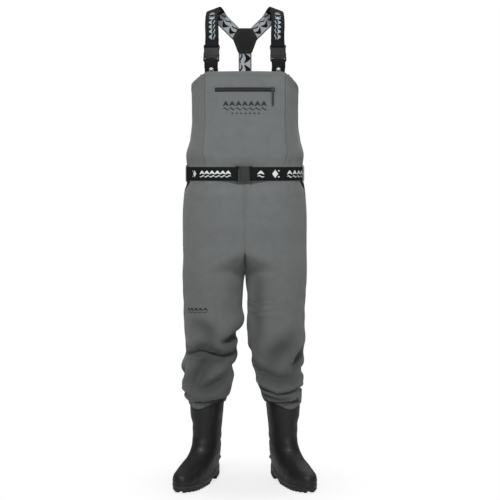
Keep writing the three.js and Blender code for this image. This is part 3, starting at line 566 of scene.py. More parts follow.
def smooth_path(points, count=40):
    """A curve through a few points, as closely spaced points."""
    p = np.array(points, float)
    step = np.r_[0, np.cumsum(np.linalg.norm(np.diff(p, axis=0), axis=1))]
    t = np.linspace(0, step[-1], count)
    return np.stack([profile(*zip(step, p[:, i]))(t) for i in range(p.shape[1])], -1)


def crease_field(angle, z, radius, creases):
    """Outward push, downward drag and crease shade of all the creases at every point."""
    push, drag, shade = (np.zeros(np.shape(z)) for _ in range(3))
    for path, width, depth, ridge, overhang in creases:
        width *= 1 + 0.4 * ease(width, 6, 9)
        line = smooth_path(path)
        scale = np.radians(1) * radius
        best = np.full(np.shape(z), 1e9)
        where, signed = np.zeros(np.shape(z)), np.zeros(np.shape(z))
        for i, (a, h) in enumerate(line):
            turn = (angle - a + 180) % 360 - 180
            da, dz = turn * scale, z - h
            d = da * da + dz * dz
            near = d < best
            ahead = line[min(i + 1, len(line) - 1)] - line[max(i - 1, 0)]
            across = np.array([-ahead[1], ahead[0] * scale])
            across *= np.sign(across[1]) or 1
            across /= np.linalg.norm(across)
            best = np.where(near, d, best)
            where = np.where(near, i / (len(line) - 1), where)
            signed = np.where(near, da * across[0] + dz * across[1], signed)
        ends = np.clip(np.sin(np.pi * np.clip(where, 0.02, 0.98)), 0, 1) ** 0.6
        beyond = np.sqrt(np.maximum(best - signed ** 2, 0))
        ends = ends * np.exp(-(beyond / (1.4 * width)) ** 2)
        valley = np.exp(-(signed / width) ** 2)
        above = np.exp(-((signed - 1.9 * width) / (1.25 * width)) ** 2)
        below = np.exp(-((signed + 1.7 * width) / (1.3 * width)) ** 2)
        push += ends * (ridge * above + 0.55 * ridge * below - depth * valley)
        drag += ends * overhang * np.exp(-((signed - 0.9 * width) / (0.9 * width)) ** 2)
        shade += ends * np.exp(-((signed + 0.3 * width) / (1.35 * width)) ** 2) * min(1, depth / 8)
    return push, drag, np.clip(shade, 0, 1)


def gathers(around, z, size, reach_up, reach_down, seed):
    """Small pleats where the belt draws the cloth in; around is the distance round the waist."""
    rng = np.random.default_rng(seed)
    field = np.zeros(np.broadcast(around, z).shape)
    for _ in range(34):
        at, width = rng.uniform(-600, 600), rng.uniform(5, 11)
        reach = rng.uniform(0.4, 1.0)
        away = np.where(z > WAIST, (z - WAIST - BAND) / reach_up, (WAIST - BAND - z) / reach_down) / reach
        lean = rng.uniform(-0.15, 0.15) * (z - WAIST)
        fold = np.exp(-((around - at - lean) / width) ** 2)
        field += rng.uniform(0.4, 1) * fold * np.exp(-np.clip(away, 0, 9) ** 1.3)
    return size * field


print(sum(map(len, CREASES.values())), "creases")

# %% [markdown]
# ## Boot outline
#
# The boot's outline is drawn in its own frame, toe towards -y, then turned 18 degrees outwards.
# The trousers' hems need it too, because they lie over the boots.

# %% Boot outline
BOOT_X, BOOT_Y, BOOT_TURN = 116.0, 14.0, math.radians(18)
BOOT_BACK, BOOT_FRONT, BOOT_HALF, BOOT_TOP, SOLE_TOP = 75.0, 225.0, 52.0, 272.0, 15.0
boot_front = profile((SOLE_TOP, 221), (30, 224), (45, 220), (54, 205), (61, 180), (69, 150), (80, 115),
                     (97, 86),
                     (120, 70), (155, 64), (BOOT_TOP, 65))
boot_back = profile((SOLE_TOP, 71), (45, 75), (80, 73), (145, 64), (200, 65), (BOOT_TOP, 66))
ball_half = profile((SOLE_TOP, 44), (32, 46), (56, 43), (80, 41), (118, 41), (145, 41), (235, 51),
                    (BOOT_TOP, 53))
heel_half = profile((SOLE_TOP, 34), (60, 37), (90, 37), (145, 40), (235, 50), (BOOT_TOP, 53))
BREAST = 2.0


def toe_spring(y):
    return 5 * ease(-y, BOOT_FRONT - 80, BOOT_FRONT)


def foot_rise(y):
    return 14 * ease(y, -70, -5) + toe_spring(y)


def tread_height(y):
    return 5 + 9 * ease(-y, -BREAST - 3, -BREAST + 3) * (1 - ease(-y, 48, 72)) + toe_spring(y)


def boot_outline(angle, z, inset=0.0):
    """angle runs round the boot: 0 heel, pi toe."""
    angle, z = np.broadcast_arrays(np.asarray(angle, float), np.asarray(z, float))
    front, back = boot_front(z) - inset, boot_back(z) - inset
    c, s = np.cos(angle), np.sin(angle)
    half = ball_half(z) + (heel_half(z) - ball_half(z)) * ease(c, -0.7, 0.75) - inset
    y = (back - front) / 2 + (back + front) / 2 * c
    x = np.sign(s) * half * np.abs(s) ** (0.82 + 0.18 * ease(z, 70, 150))
    return np.stack([x, y, z + foot_rise(y) * (1 - ease(z, SOLE_TOP, 130))], -1)


def on_boot(points, side):
    """The boot's own frame to the torso's frame, turned outwards; the forefoot leans outwards too."""
    p = np.array(points, float)
    p[..., 0] += side * 8 * ease(-p[..., 1], -10, 130) * (1 - ease(p[..., 2], 60, 130))
    c, s = math.cos(BOOT_TURN * side), math.sin(BOOT_TURN * side)
    return np.stack([p[..., 0] * c - p[..., 1] * s + side * BOOT_X, p[..., 0] * s + p[..., 1] * c + BOOT_Y,
                     p[..., 2]], -1)


# angle 0 is the toe side of the shaft, height, then the same sizes as the trouser creases
BOOT_CREASES = [
    ([(-62, 118), (-30, 107), (0, 103), (30, 108), (66, 122)], 8, 1.3, 0.8, 0),
    ([(-75, 145), (-40, 136), (-5, 134), (35, 139), (80, 150)], 9, 1.2, 0.8, 0),
    ([(-100, 168), (-60, 176), (-20, 172)], 9, 1.5, 1.0, 0),
    ([(100, 110), (130, 122), (165, 128)], 7, 2.2, 1.2, 0),
    ([(-100, 118), (-135, 124), (-170, 130)], 7, 2.0, 1.2, 0),
]

# %% [markdown]
# ## Trouser halves
#
# The leg's grid gets its creases and a slow wave, hangs over the boot at the hem, and joins the hip's
# grid at the fork.

# %% Trouser halves
COLUMNS, ARC = 160, 121  # points round a leg, and how many of them lie on the outer arc
LEG_RADIUS = 85.0  # turns angles round a leg into millimetres
CLOTH = 1.4


def hip_points(side, rows):
    k = np.arange(ARC) / (ARC - 1)
    z = np.linspace(WAIST, CROTCH, rows)[:, None]
    points = torso(4 * k[None, :], z)
    points[:, 1:-1, 0] = np.maximum(points[:, 1:-1, 0], 0.1)
    points[:, [0, -1], 0] = -0.6
    return points * (side, 1, 1), np.broadcast_to(k * CORNER, points.shape[:2])


def leg_points(name, side, rows):
    k = np.r_[np.arange(ARC) / (ARC - 1) * CORNER,
              CORNER + np.arange(1, COLUMNS - ARC + 1) / (COLUMNS - ARC + 1) * (1 - CORNER)]
    z = np.linspace(CROTCH, HEM, rows)[:, None]
    points = leg(name, k[None, :], z)
    return points * (side, 1, 1), np.broadcast_to(k, points.shape[:2])


def hem_height(k):
    """The hem hangs lower at the outer front than at the inner side."""
    turn = (2 * k - 0.75) * np.pi
    return 3 - 20 * np.exp(-((np.mod(turn + np.pi + 1.05, 2 * np.pi) - np.pi) / 0.75) ** 2) - 5 * np.cos(turn)


trousers = {}
surface = {}
for name, side in SIDES:
    hip, hip_k = hip_points(side, 64)
    low, low_k = leg_points(name, side, 150)
    # The lowest part slides down or up so that the hem is not level.
    near_hem = np.clip(1 - (low[..., 2] - HEM) / 110, 0, 1) ** 2
    low[..., 2] += near_hem * hem_height(low_k)

    normal_hip = normals(hip) * side
    normal_low = normals(low, loop=True) * side
    if (normal_low[70, 40] * (1, 0, 0)).sum() * side < 0:
        normal_hip, normal_low = -normal_hip, -normal_low

    angle = (2 * low_k * 180 - 45) % 360  # 0 front, 90 outer side
    push, drag, shade = (1.3 * v for v in crease_field(angle, low[..., 2], LEG_RADIUS, CREASES[name]))
    shade = np.minimum(shade, 1)
    soft = ease(CROTCH - low[..., 2], 20, 160)
    push = push + 2.6 * waves(low * (1, 1, 0.45), 130, 11 + side) * soft
    push = push + 1.0 * waves(low, 46, 21 + side) * soft
    low_final = low + normal_low * push[..., None]
    low_final[..., 2] -= drag
    # The hem turns in under itself to the boot.
    tuck = ease(low[..., 2], HEM + 26, HEM - 12)[..., None]
    middle = (low_final[-1].max(0) + low_final[-1].min(0)) / 2
    low_final[..., :2] += (middle[:2] - low_final[..., :2]) * 0.16 * tuck

    # The hem lies over the boot.
    shaft = low_final * (side, 1, 1) - (BOOT_X, BOOT_Y, 0)
    c, t = math.cos(BOOT_TURN), math.sin(BOOT_TURN)
    shaft_x, shaft_y = shaft[..., 0] * c + shaft[..., 1] * t, -shaft[..., 0] * t + shaft[..., 1] * c
    bearing = np.arctan2(shaft_x / 51, shaft_y / 65.5)
    shell = boot_outline(bearing, np.maximum(low_final[..., 2], 150))
    need = np.hypot(shell[..., 0], shell[..., 1]) + 4.0
    have = np.hypot(shaft_x, shaft_y)
    grow = np.where(low_final[..., 2] < BOOT_TOP + 8, np.maximum(need / have, 1), 1)
    centre = np.array([side * BOOT_X, BOOT_Y])
    low_final[..., :2] = centre + (low_final[..., :2] - centre) * grow[..., None]
    # Below the fork the two legs touch.
    reach = low_final[..., 0] * side
    reach -= 4 * ease(low_final[..., 2], 610, 660) * np.exp(-(reach / 12) ** 2)
    low_final[..., 0] = side * np.maximum(reach, 0.12)

    around = np.sign(hip[..., 0]) * np.linalg.norm(hip - torso(0, hip[..., 2]), axis=-1)
    near = np.exp(-(hip[..., 0] / 2.2) ** 2)
    slow = 1.6 * waves(hip * (1, 1, 0.35), 150, 31) * ease(WAIST - hip[..., 2], 20, 90)
    slow = slow * (1 - np.exp(-(hip[..., 0] / 30) ** 2))
    hip_push = gathers(around * 1.25, hip[..., 2], 2.0, 40, 34, 5) + slow - 0.4 * near
    hip_push *= ease(WAIST - hip[..., 2], BAND - 4, BAND + 10)
    hip_final = hip + normal_hip * hip_push[..., None]
    # The fork keeps both halves joined: the push fades out over the first leg rows.
    share = ease(CROTCH - low[:, :ARC, 2], 0, 30)[..., None]
    edge = (hip_final[-1] - hip[-1])[None]
    low_final[:, :ARC] = low_final[:, :ARC] * share + (low[:, :ARC] + edge) * (1 - share)

    top = hip_final[:-1].reshape(-1, 3)
    verts = np.concatenate([top, low_final.reshape(-1, 3)])
    faces = [grid_faces(hip.shape[0] - 1, ARC)]
    join = np.arange(ARC - 1)
    last, first = (hip.shape[0] - 2) * ARC + join, len(top) + join
    faces.append(np.stack([last, last + 1, first + 1, first], -1))
    faces.append(grid_faces(low.shape[0], COLUMNS, True, len(top)))
    faces = np.concatenate(faces)
    if side < 0:
        faces = faces[:, ::-1]
    uv = np.concatenate([np.stack([hip_k[:-1] * 0.72, hip[:-1, :, 2] / 1000], -1).reshape(-1, 2),
                         np.stack([low_k * 0.72, low[..., 2] / 1000], -1).reshape(-1, 2)])
    obj = new_object(f"trousers_{name}", world(verts), faces, (FABRIC, LINING), uv)
    # The fold attribute carries painted crease shade into the cloth's colour.
    fold = obj.data.attributes.new("fold", "FLOAT", "POINT")
    fold.data.foreach_set("value", np.r_[np.zeros(len(top)), shade.ravel()].astype(np.float32))
    trousers[name] = obj
    surface[name] = (low_final, hip_final, low_k)

for name, side in SIDES:
    obj = trousers[name]
    face_outwards(obj)
    thicken(obj, CLOTH)
    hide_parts(*[f"{part}_{name}" for part in ("hip_front", "hip_back", "thigh_front", "thigh_back",
                                                     "knee_sleeve", "shin_front", "shin_back")])
    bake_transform(obj)
    print(obj.name, len(obj.data.vertices), "vertices")

# %% [markdown]
# ## Bib
#
# Four panels share one surface function, so their edges meet. `bib_point` gives any point of the
# finished surface, and prints, tapes and stitches are laid on it with a small lift.

# %% Bib panels
ZIP_Z, ZIP_HALF, WINDOW = 1183.0, 88.0, 6.3
FRONT_SEAM, BACK_SEAM = 1.25, 2.6


def bib_point(u, z, lift=0.0):
    u, z = np.broadcast_arrays(np.asarray(u, float), np.asarray(z, float))
    step = 0.004
    base = torso(u, z)
    n = np.cross(torso(u + step, z) - torso(u - step, z), torso(u, z + 1) - torso(u, z - 1))
    n /= np.linalg.norm(n, axis=-1, keepdims=True)
    half = np.where(u % 8 > 4, 8 - u % 8, u % 8)
    around = np.sign(base[..., 0]) * half * 95
    free = ease(z, WAIST + BAND, WAIST + BAND + 60)
    flat_zone = 1 - 0.75 * np.exp(-((z - ZIP_Z) / 34) ** 2) * (half < 1.2)
    slow = 2.2 * waves(base * (1, 1, 0.4), 150, 3) * free * flat_zone
    push = slow + 0.5 * waves(base, 60, 8) * free * flat_zone
    push += gathers(around, z, 1.7, 44, 30, 7)
    for seam in (FRONT_SEAM, BACK_SEAM):
        off = (half - seam) * 100
        push += 0.9 * np.exp(-((np.abs(off) - 6) / 4.5) ** 2) - 1.1 * np.exp(-(off / 1.6) ** 2)
    top = top_edge(half)
    sag = 1.3 * waves(base * (1, 1, 0.2), 110, 17) * np.exp(-((top - z) / 40) ** 2) * flat_zone
    push += 0.45 * (1 - ease(top - z, 12, 15)) + sag
    dent = 3.2 * np.exp(-((half - FRONT_SEAM - 0.12) * 100 / 16) ** 2)
    push -= dent * np.exp(-((z - 1010) / 60) ** 2) * (base[..., 0] > 0)
    push *= ease(z, WAIST + BAND - 4, WAIST + BAND + 10)
    return base + n * (push + lift)[..., None]


def heights(rows):
    part = [np.linspace(WAIST, ZIP_Z - WINDOW, rows), np.linspace(ZIP_Z - WINDOW, ZIP_Z + WINDOW, 7)[1:],
            np.linspace(ZIP_Z + WINDOW, BIB_TOP, 20)[1:]]
    return np.concatenate(part)


def bib_grid(u, rows=96):
    half = np.where(u % 8 > 4, 8 - u % 8, u % 8)
    level = heights(rows)[:, None]
    return WAIST + (level - WAIST) * (top_edge(half) - WAIST) / (BIB_TOP - WAIST)


def cut_size(points):
    """Width, height and area of a grid of points in millimetres, in metres."""
    wide = np.linalg.norm(np.diff(points, axis=1), axis=-1)
    tall = np.linalg.norm(np.diff(points, axis=0), axis=-1)
    area = (wide[:-1] * 0.5 + wide[1:] * 0.5) * (tall[:, :-1] * 0.5 + tall[:, 1:] * 0.5)
    return (wide.sum(1).max() / 1000, tall.sum(0).max() / 1000), area.sum() / 1e6


slit = FRONT_SEAM, ZIP_HALF / 97
panels = {
    "bib_front": np.concatenate([np.linspace(-slit[0], -slit[1], 24), np.linspace(-slit[1], slit[1], 90)[1:],
                                 np.linspace(slit[1], slit[0], 24)[1:]]),
    "bib_side_left": np.linspace(FRONT_SEAM, BACK_SEAM, 70),
    "bib_back": np.linspace(BACK_SEAM, 8 - BACK_SEAM, 130),
    "bib_side_right": np.linspace(8 - BACK_SEAM, 8 - FRONT_SEAM, 70),
}
stands_for = {"bib_front": "bib_front_panel", "bib_side_left": "bib_side_panel_left",
              "bib_back": "bib_back_panel",
              "bib_side_right": "bib_side_panel_right"}
for name, u in panels.items():
    z = bib_grid(u)
    points = bib_point(u[None, :], z)
    faces = grid_faces(*points.shape[:2])
    if name == "bib_front":
        centre = points.reshape(-1, 3)[faces].mean(1)
        level = heights(96)
        row = np.repeat(np.arange(len(level) - 1), len(u) - 1)
        inside = (level[row] > ZIP_Z - WINDOW - 0.1) & (level[row + 1] < ZIP_Z + WINDOW + 0.1)
        faces = faces[~(inside & (np.abs(centre[:, 0]) < ZIP_HALF))]
    obj = new_object(name, world(points.reshape(-1, 3)), faces, (FABRIC, LINING),
                     lengths_uv(points).reshape(-1, 2))
    thicken(obj, CLOTH)
    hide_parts(stands_for[name])
    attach(obj, "waders")
    size, area = cut_size(points)
    min(area, size[0] * size[1])
    print(name, [round(v, 3) for v in size])

seam_lines = []
for seam in (FRONT_SEAM, BACK_SEAM, 8 - FRONT_SEAM, 8 - BACK_SEAM):
    reach = np.linspace(WAIST + 24, top_edge(min(seam, 8 - seam)) - 3, 90)
    seam_lines += [bib_point(seam + side * 0.035, reach, 0.15) for side in (-1, 1)]
edge_u = np.linspace(0, 8, 400)
seam_lines.append(bib_point(edge_u, top_edge(np.minimum(edge_u, 8 - edge_u)) - 10, 0.15))
ring = [(-1, -1), (1, -1), (1, 1), (-1, 1), (-1, -1)]
frame_line = np.array([(x * (ZIP_HALF + 4), ZIP_Z + z * (WINDOW + 4)) for x, z in ring])
frame_line = np.concatenate([np.linspace(a, b, 40) for a, b in zip(frame_line, frame_line[1:])])
seam_lines.append(bib_point(frame_line[:, 0] / flat_half(frame_line[:, 1]), frame_line[:, 1], 0.15))
bib_stitches = stitch("bib_stitches", seam_lines)
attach(bib_stitches, "waders")

# Welded tape covers each seam on the inside.
for seam, label in ((FRONT_SEAM, "front_left"), (BACK_SEAM, "back_left"), (8 - BACK_SEAM, "back_right"),
                    (8 - FRONT_SEAM, "front_right")):
    up = np.linspace(WAIST + 2, top_edge(min(seam, 8 - seam)) - 2, 80)[:, None]
    tape = bib_point(seam + np.linspace(-0.11, 0.11, 7)[None, :], up, -1.75)
    obj = new_object(f"inner_tape_{label}", world(tape.reshape(-1, 3)), grid_faces(80, 7)[:, ::-1], (TAPE,),
                     lengths_uv(tape).reshape(-1, 2))
    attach(obj, "waders")
print("bib done")

# %% [markdown]
# ## Prints
#
# A print is a set of thin strips laid on a surface. Each strip has a centre line and a half width.
# The motifs are plain wave crests, lozenges and slanted bars.

# %% Prints


def strip(centre, half, start, end, count=16, layers=4):
    """A strip from start to end; centre(t) and half(t) give its middle and half width at t 0..1."""
    t = np.linspace(0, 1, count)[:, None]
    v = np.linspace(-1, 1, layers)[None, :]
    along = start + (end - start) * t + 0 * v
    return np.stack([along, centre(t) + half(t) * v], -1)


def crest(at, size=1.0):
    """One wave crest: a thick rising swell and a thin line below it."""
    swell = strip(lambda t: size * (4.5 * np.sin(np.pi * t) ** 1.4 - 0.5),
                  lambda t: size * (0.6 + 2.6 * np.sin(np.pi * t)),
                  at, at + 13 * size, 14)
    line = strip(lambda t: size * (-5.6 + 1.5 * np.sin(2 * np.pi * t)),
                 lambda t: size * (0.5 + 0.7 * np.sin(np.pi * t)),
                 at, at + 13 * size, 14)
    return [swell, line]


def lozenge(at, size=1.0):
    return [strip(lambda t: 0 * t, lambda t: size * 7.5 * (1 - np.abs(2 * t - 1)), at, at + 11 * size, 9),
            strip(lambda t: 0 * t + 5.5 * size, lambda t: size * 1.6 * (1 - np.abs(2 * t - 1)),
                  at + 10 * size, at + 14 * size, 5),
            strip(lambda t: 0 * t - 5.5 * size, lambda t: size * 1.6 * (1 - np.abs(2 * t - 1)),
                  at + 10 * size, at + 14 * size, 5)]


def bars(at, size=1.0):
    return [strip(lambda t: 0 * t, lambda t: size * (6.8 - 3 * i) + 0 * t, at + i * 5 * size,
                  at + (i * 5 + 3) * size, 4)
            for i in range(2)]


def print_row(start, end, size=1.0):
    """Crests, a lozenge and bars in turn, for as long as they fit."""
    size *= 1.25
    shapes, at, turn = [], start, 0
    while True:
        kind = (crest, crest, crest, crest, lozenge, bars)[turn % 6]
        room = {crest: 15, lozenge: 20, bars: 15}[kind] * size
        if at + room > end:
            return shapes
        shapes += kind(at, size)
        at += room
        turn += 1


def lay_print(name, shapes, place, material, flip=False):
    """place(a, b) gives the point in the torso's millimetres for print coordinates a, b."""
    verts, faces, uvs, total = [], [], [], 0
    for shape in shapes:
        points = place(shape[..., 0], shape[..., 1])
        quads = grid_faces(*shape.shape[:2], offset=total)
        verts.append(points.reshape(-1, 3))
        uvs.append(shape.reshape(-1, 2) / 1000)
        faces.append(quads[:, ::-1] if flip else quads)
        total += shape.shape[0] * shape.shape[1]
    return new_object(name, world(np.concatenate(verts)), np.concatenate(faces), (material,),
                      np.concatenate(uvs))


def scaled(shapes, dx, dy, fx=1.0, fy=1.0):
    return [shape * (fx, fy) + (dx, dy) for shape in shapes]


def on_bib(a, b):
    return bib_point(a / flat_half(b), b, 0.2)


chest = []
for i in range(7):
    chest += scaled(crest(0), -64 + i * 18.6, 1137, 1.3, 1.75)
chest += [strip(lambda t: 1114 + 0 * t, lambda t: 3.0 * (1 - np.abs(2 * t - 1)), -40 + 13 * i, -33 + 13 * i,
                7) for i in range(7)]
chest_print = lay_print("chest_print", chest, on_bib, PRINT_DARK)
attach(chest_print, "waders")
print(len(chest), "strips in the chest print")


def on_leg(name):
    low = surface[name][0]

    def place(a, b, lift=0.25):
        """a runs round the leg in millimetres from the front towards the outer side, b is the height."""
        k = (np.asarray(a, float) / LEG_RADIUS / np.pi / 2 + 0.125) % 1
        column = np.where(k <= CORNER, k / CORNER * (ARC - 1),
                          ARC - 1 + (k - CORNER) / (1 - CORNER) * (COLUMNS - ARC + 1))
        row = (CROTCH - np.asarray(b, float)) / (CROTCH - HEM) * (low.shape[0] - 1)
        r, c = np.clip(row, 0, low.shape[0] - 1.001), column % COLUMNS
        r0, c0 = r.astype(int), c.astype(int)
        fr, fc = (r - r0)[..., None], (c - c0)[..., None]
        c1 = (c0 + 1) % COLUMNS
        here = low[r0, c0] * (1 - fr) + low[r0 + 1, c0] * fr
        following = low[r0, c1] * (1 - fr) + low[r0 + 1, c1] * fr
        p = here * (1 - fc) + following * fc
        n = leg_normals[name]
        return p + lift * n[np.clip(np.rint(r).astype(int), 0, len(n) - 1),
                            np.clip(np.rint(c).astype(int), 0, COLUMNS - 1)]
    return place


leg_normals = {}
for name, side in SIDES:
    n = normals(surface[name][0], loop=True)
    outward = np.sign((n[60, 50] * (side, 0, 0)).sum()) or 1
    leg_normals[name] = n * outward
label = []
for i in range(5):
    label += scaled(crest(0), 12 + i * 15.5, 531 - i * 0.8, 1.15, 1.1)
thigh_print = lay_print("thigh_print", label, on_leg("right"), PRINT_DARK, flip=True)
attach(thigh_print, "waders")

# %% [markdown]
# ## Trouser seams
#
# Rows of stitches run along both sides of each leg, down the middle and down the hips.

# %% Trouser seams
seams = {}
hip_lines = []
for name, side in SIDES:
    place, b = on_leg(name), np.linspace(CROTCH - 12, 300, 190)
    seams[name] = [place(np.radians(degrees) * LEG_RADIUS + off + 0 * b, b, 0.15)
                   for degrees in (-90, 90) for off in (-3.2, 3.2)]
    hip = surface[name][1]
    hip_lines.append(hip[4:, 2] + (0, -0.2, 0))
    hip_lines.append(hip[4:, ARC - 3] + (0, 0.2, 0))
    middle = (ARC - 1) // 2
    for column in (middle - 1, middle + 1):
        hip_lines.append(hip[6:, column] + (side * 0.2, 0, 0))
hip_stitches = stitch("hip_stitches", hip_lines)
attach(hip_stitches, "waders")
for name, side in SIDES:
    legs = stitch(f"leg_stitches_{name}", seams[name])
    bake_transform(legs)
print("seams stitched")

# %% [markdown]
# ## Webbing
#
# A band follows a path with a width direction at each point. It is black with a pale print
# outside, and pale with a dark print inside, as jacquard webbing is.

# %% Bands
WEB_WIDTH, WEB_THICK = 40.0, 1.6
OUTSIDE, INSIDE = 0.95, -0.95  # a print's distance from the webbing's middle


class Band:
    """A flat band: place(s, t, lift) gives the point s along it, t across it and lift off its outer face."""

    def __init__(self, points, across, outward):
        self.p = np.asarray(points, float)
        self.s = np.r_[0, np.cumsum(np.linalg.norm(np.diff(self.p, axis=0), axis=1))]
        along = np.gradient(self.p, axis=0)
        along /= np.linalg.norm(along, axis=1, keepdims=True)
        wide = np.broadcast_to(np.asarray(across, float), self.p.shape).copy()
        wide -= along * (wide * along).sum(1, keepdims=True)
        self.w = wide / np.linalg.norm(wide, axis=1, keepdims=True)
        self.n = np.cross(along, self.w)
        self.turn_to(0, outward)

    def turn_to(self, index, direction):
        """Makes the outer face at one point look towards direction."""
        if (self.n[index] * np.asarray(direction, float)).sum() < 0:
            self.n = -self.n

    def side(self, lift):
        """The place of a print that lies lift from the band's middle."""
        return lambda a, b: self.place(a, b, lift)

    def place(self, s, t, lift=0.0):
        s, t, lift = np.broadcast_arrays(np.asarray(s, float), np.asarray(t, float), np.asarray(lift, float))
        at = [np.stack([np.interp(s, self.s, v[:, i]) for i in range(3)], -1)
              for v in (self.p, self.w, self.n)]
        return at[0] + at[1] * t[..., None] + at[2] * lift[..., None]

    def mesh(self, name, materials, start=0.0, end=None, inside_from=None, step=3.0, width=WEB_WIDTH,
             thick=WEB_THICK):
        end = self.s[-1] if end is None else end
        s = np.linspace(start, end, max(int((end - start) / step), 2) + 1)
        half, t = width / 2, np.linspace(-1, 1, 11)
        bulge = 0.5 * np.sqrt(np.maximum(0, 1 - np.abs(t) ** 6)) * thick
        section = np.concatenate([np.stack([t * half, bulge], -1),
                                  np.stack([t[::-1] * half, -bulge[::-1]], -1)[1:-1]])
        n = len(section)
        points = self.place(s[:, None], section[None, :, 0], section[None, :, 1])
        faces = grid_faces(len(s), n, True)
        outer = np.tile(np.arange(n) < 10, len(s) - 1)
        index = np.where(outer, 0, 1)
        if inside_from is not None:
            late = np.repeat(s[:-1] >= inside_from, n)
            index = np.where(~outer & ~late, 0, index)
        caps = [list(range(n - 1, -1, -1)), list(range((len(s) - 1) * n, len(s) * n))]
        uv = np.stack(np.broadcast_arrays(s[:, None], section[None, :, 0]), -1) / 1000
        obj = new_object(name, world(points.reshape(-1, 3)), list(faces) + caps, materials, uv.reshape(-1, 2))
        obj.data.polygons.foreach_set("material_index", np.r_[index, 0, 0].astype(np.int32))
        face_outwards(obj)
        return obj


def rounded(points, count):
    """A smooth path through points, evenly spaced."""
    p = np.array(points, float)
    knots = np.r_[0, np.cumsum(np.linalg.norm(np.diff(p, axis=0), axis=1) ** 0.5)]
    tangents = np.gradient(p, knots, axis=0)
    t = np.linspace(0, knots[-1], 600)
    i = np.clip(np.searchsorted(knots, t, side="right") - 1, 0, len(p) - 2)
    h = (knots[i + 1] - knots[i])[:, None]
    f = (t - knots[i])[:, None] / h
    curve = p[i] * (1 + 2 * f) * (1 - f) ** 2 + p[i + 1] * f * f * (3 - 2 * f) \
        + h * f * (1 - f) * (tangents[i] * (1 - f) - tangents[i + 1] * f)
    length = np.r_[0, np.cumsum(np.linalg.norm(np.diff(curve, axis=0), axis=1))]
    even = np.linspace(0, length[-1], count)
    return np.stack([np.interp(even, length, curve[:, j]) for j in range(3)], -1)


def matrix_points(points, yaw, tilt, origin):
    """Points in a buckle's own frame to the torso's frame: tilt about x, then yaw about z."""
    p = np.asarray(points, float)
    ct, st, cy, sy = math.cos(tilt), math.sin(tilt), math.cos(yaw), math.sin(yaw)
    x, y, z = p[..., 0], p[..., 1] * ct + p[..., 2] * st, -p[..., 1] * st + p[..., 2] * ct
    return np.stack([x * cy - y * sy, x * sy + y * cy, z], -1) + np.asarray(origin, float)


BAR, SOCKET_BAR, PLUG_BAR = 3.5, 33.25, -14.25


def loop_points(bar, direction, tail):
    """The webbing's end, from its short tail round the buckle's bar and out again."""
    radius = BAR / 2 * math.sqrt(2) + 0.3 + WEB_THICK / 2
    angle = np.linspace(0, np.pi, 13)
    turn = np.stack([0 * angle, radius * np.cos(angle), bar - direction * (radius + 3.1) * np.sin(angle)], -1)
    return np.concatenate([[(0, 1.6, bar + direction * tail),
                            (0, radius * 0.85, bar + direction * tail * 0.4)],
                           turn, [(0, -radius, bar + direction * 6)]])


def edge_lines(name, band, start, end):
    """Two thin dark lines along the edges of the band's grey side."""
    both = [strip(lambda t: t * 0 + side * 17.2, lambda t: 0 * t + 0.7, start, end, 60) for side in (-1, 1)]
    return lay_print(name, both, band.side(INSIDE), PRINT_DARK)


YOKE_Y, YOKE_Z, YOKE_TILT = 98.0, 1345.0, math.radians(16)


def on_yoke(x, z, y=0.0):
    return np.array([x, YOKE_Y - z * math.sin(YOKE_TILT) + y * math.cos(YOKE_TILT),
                     YOKE_Z + z * math.cos(YOKE_TILT) + y * math.sin(YOKE_TILT)])


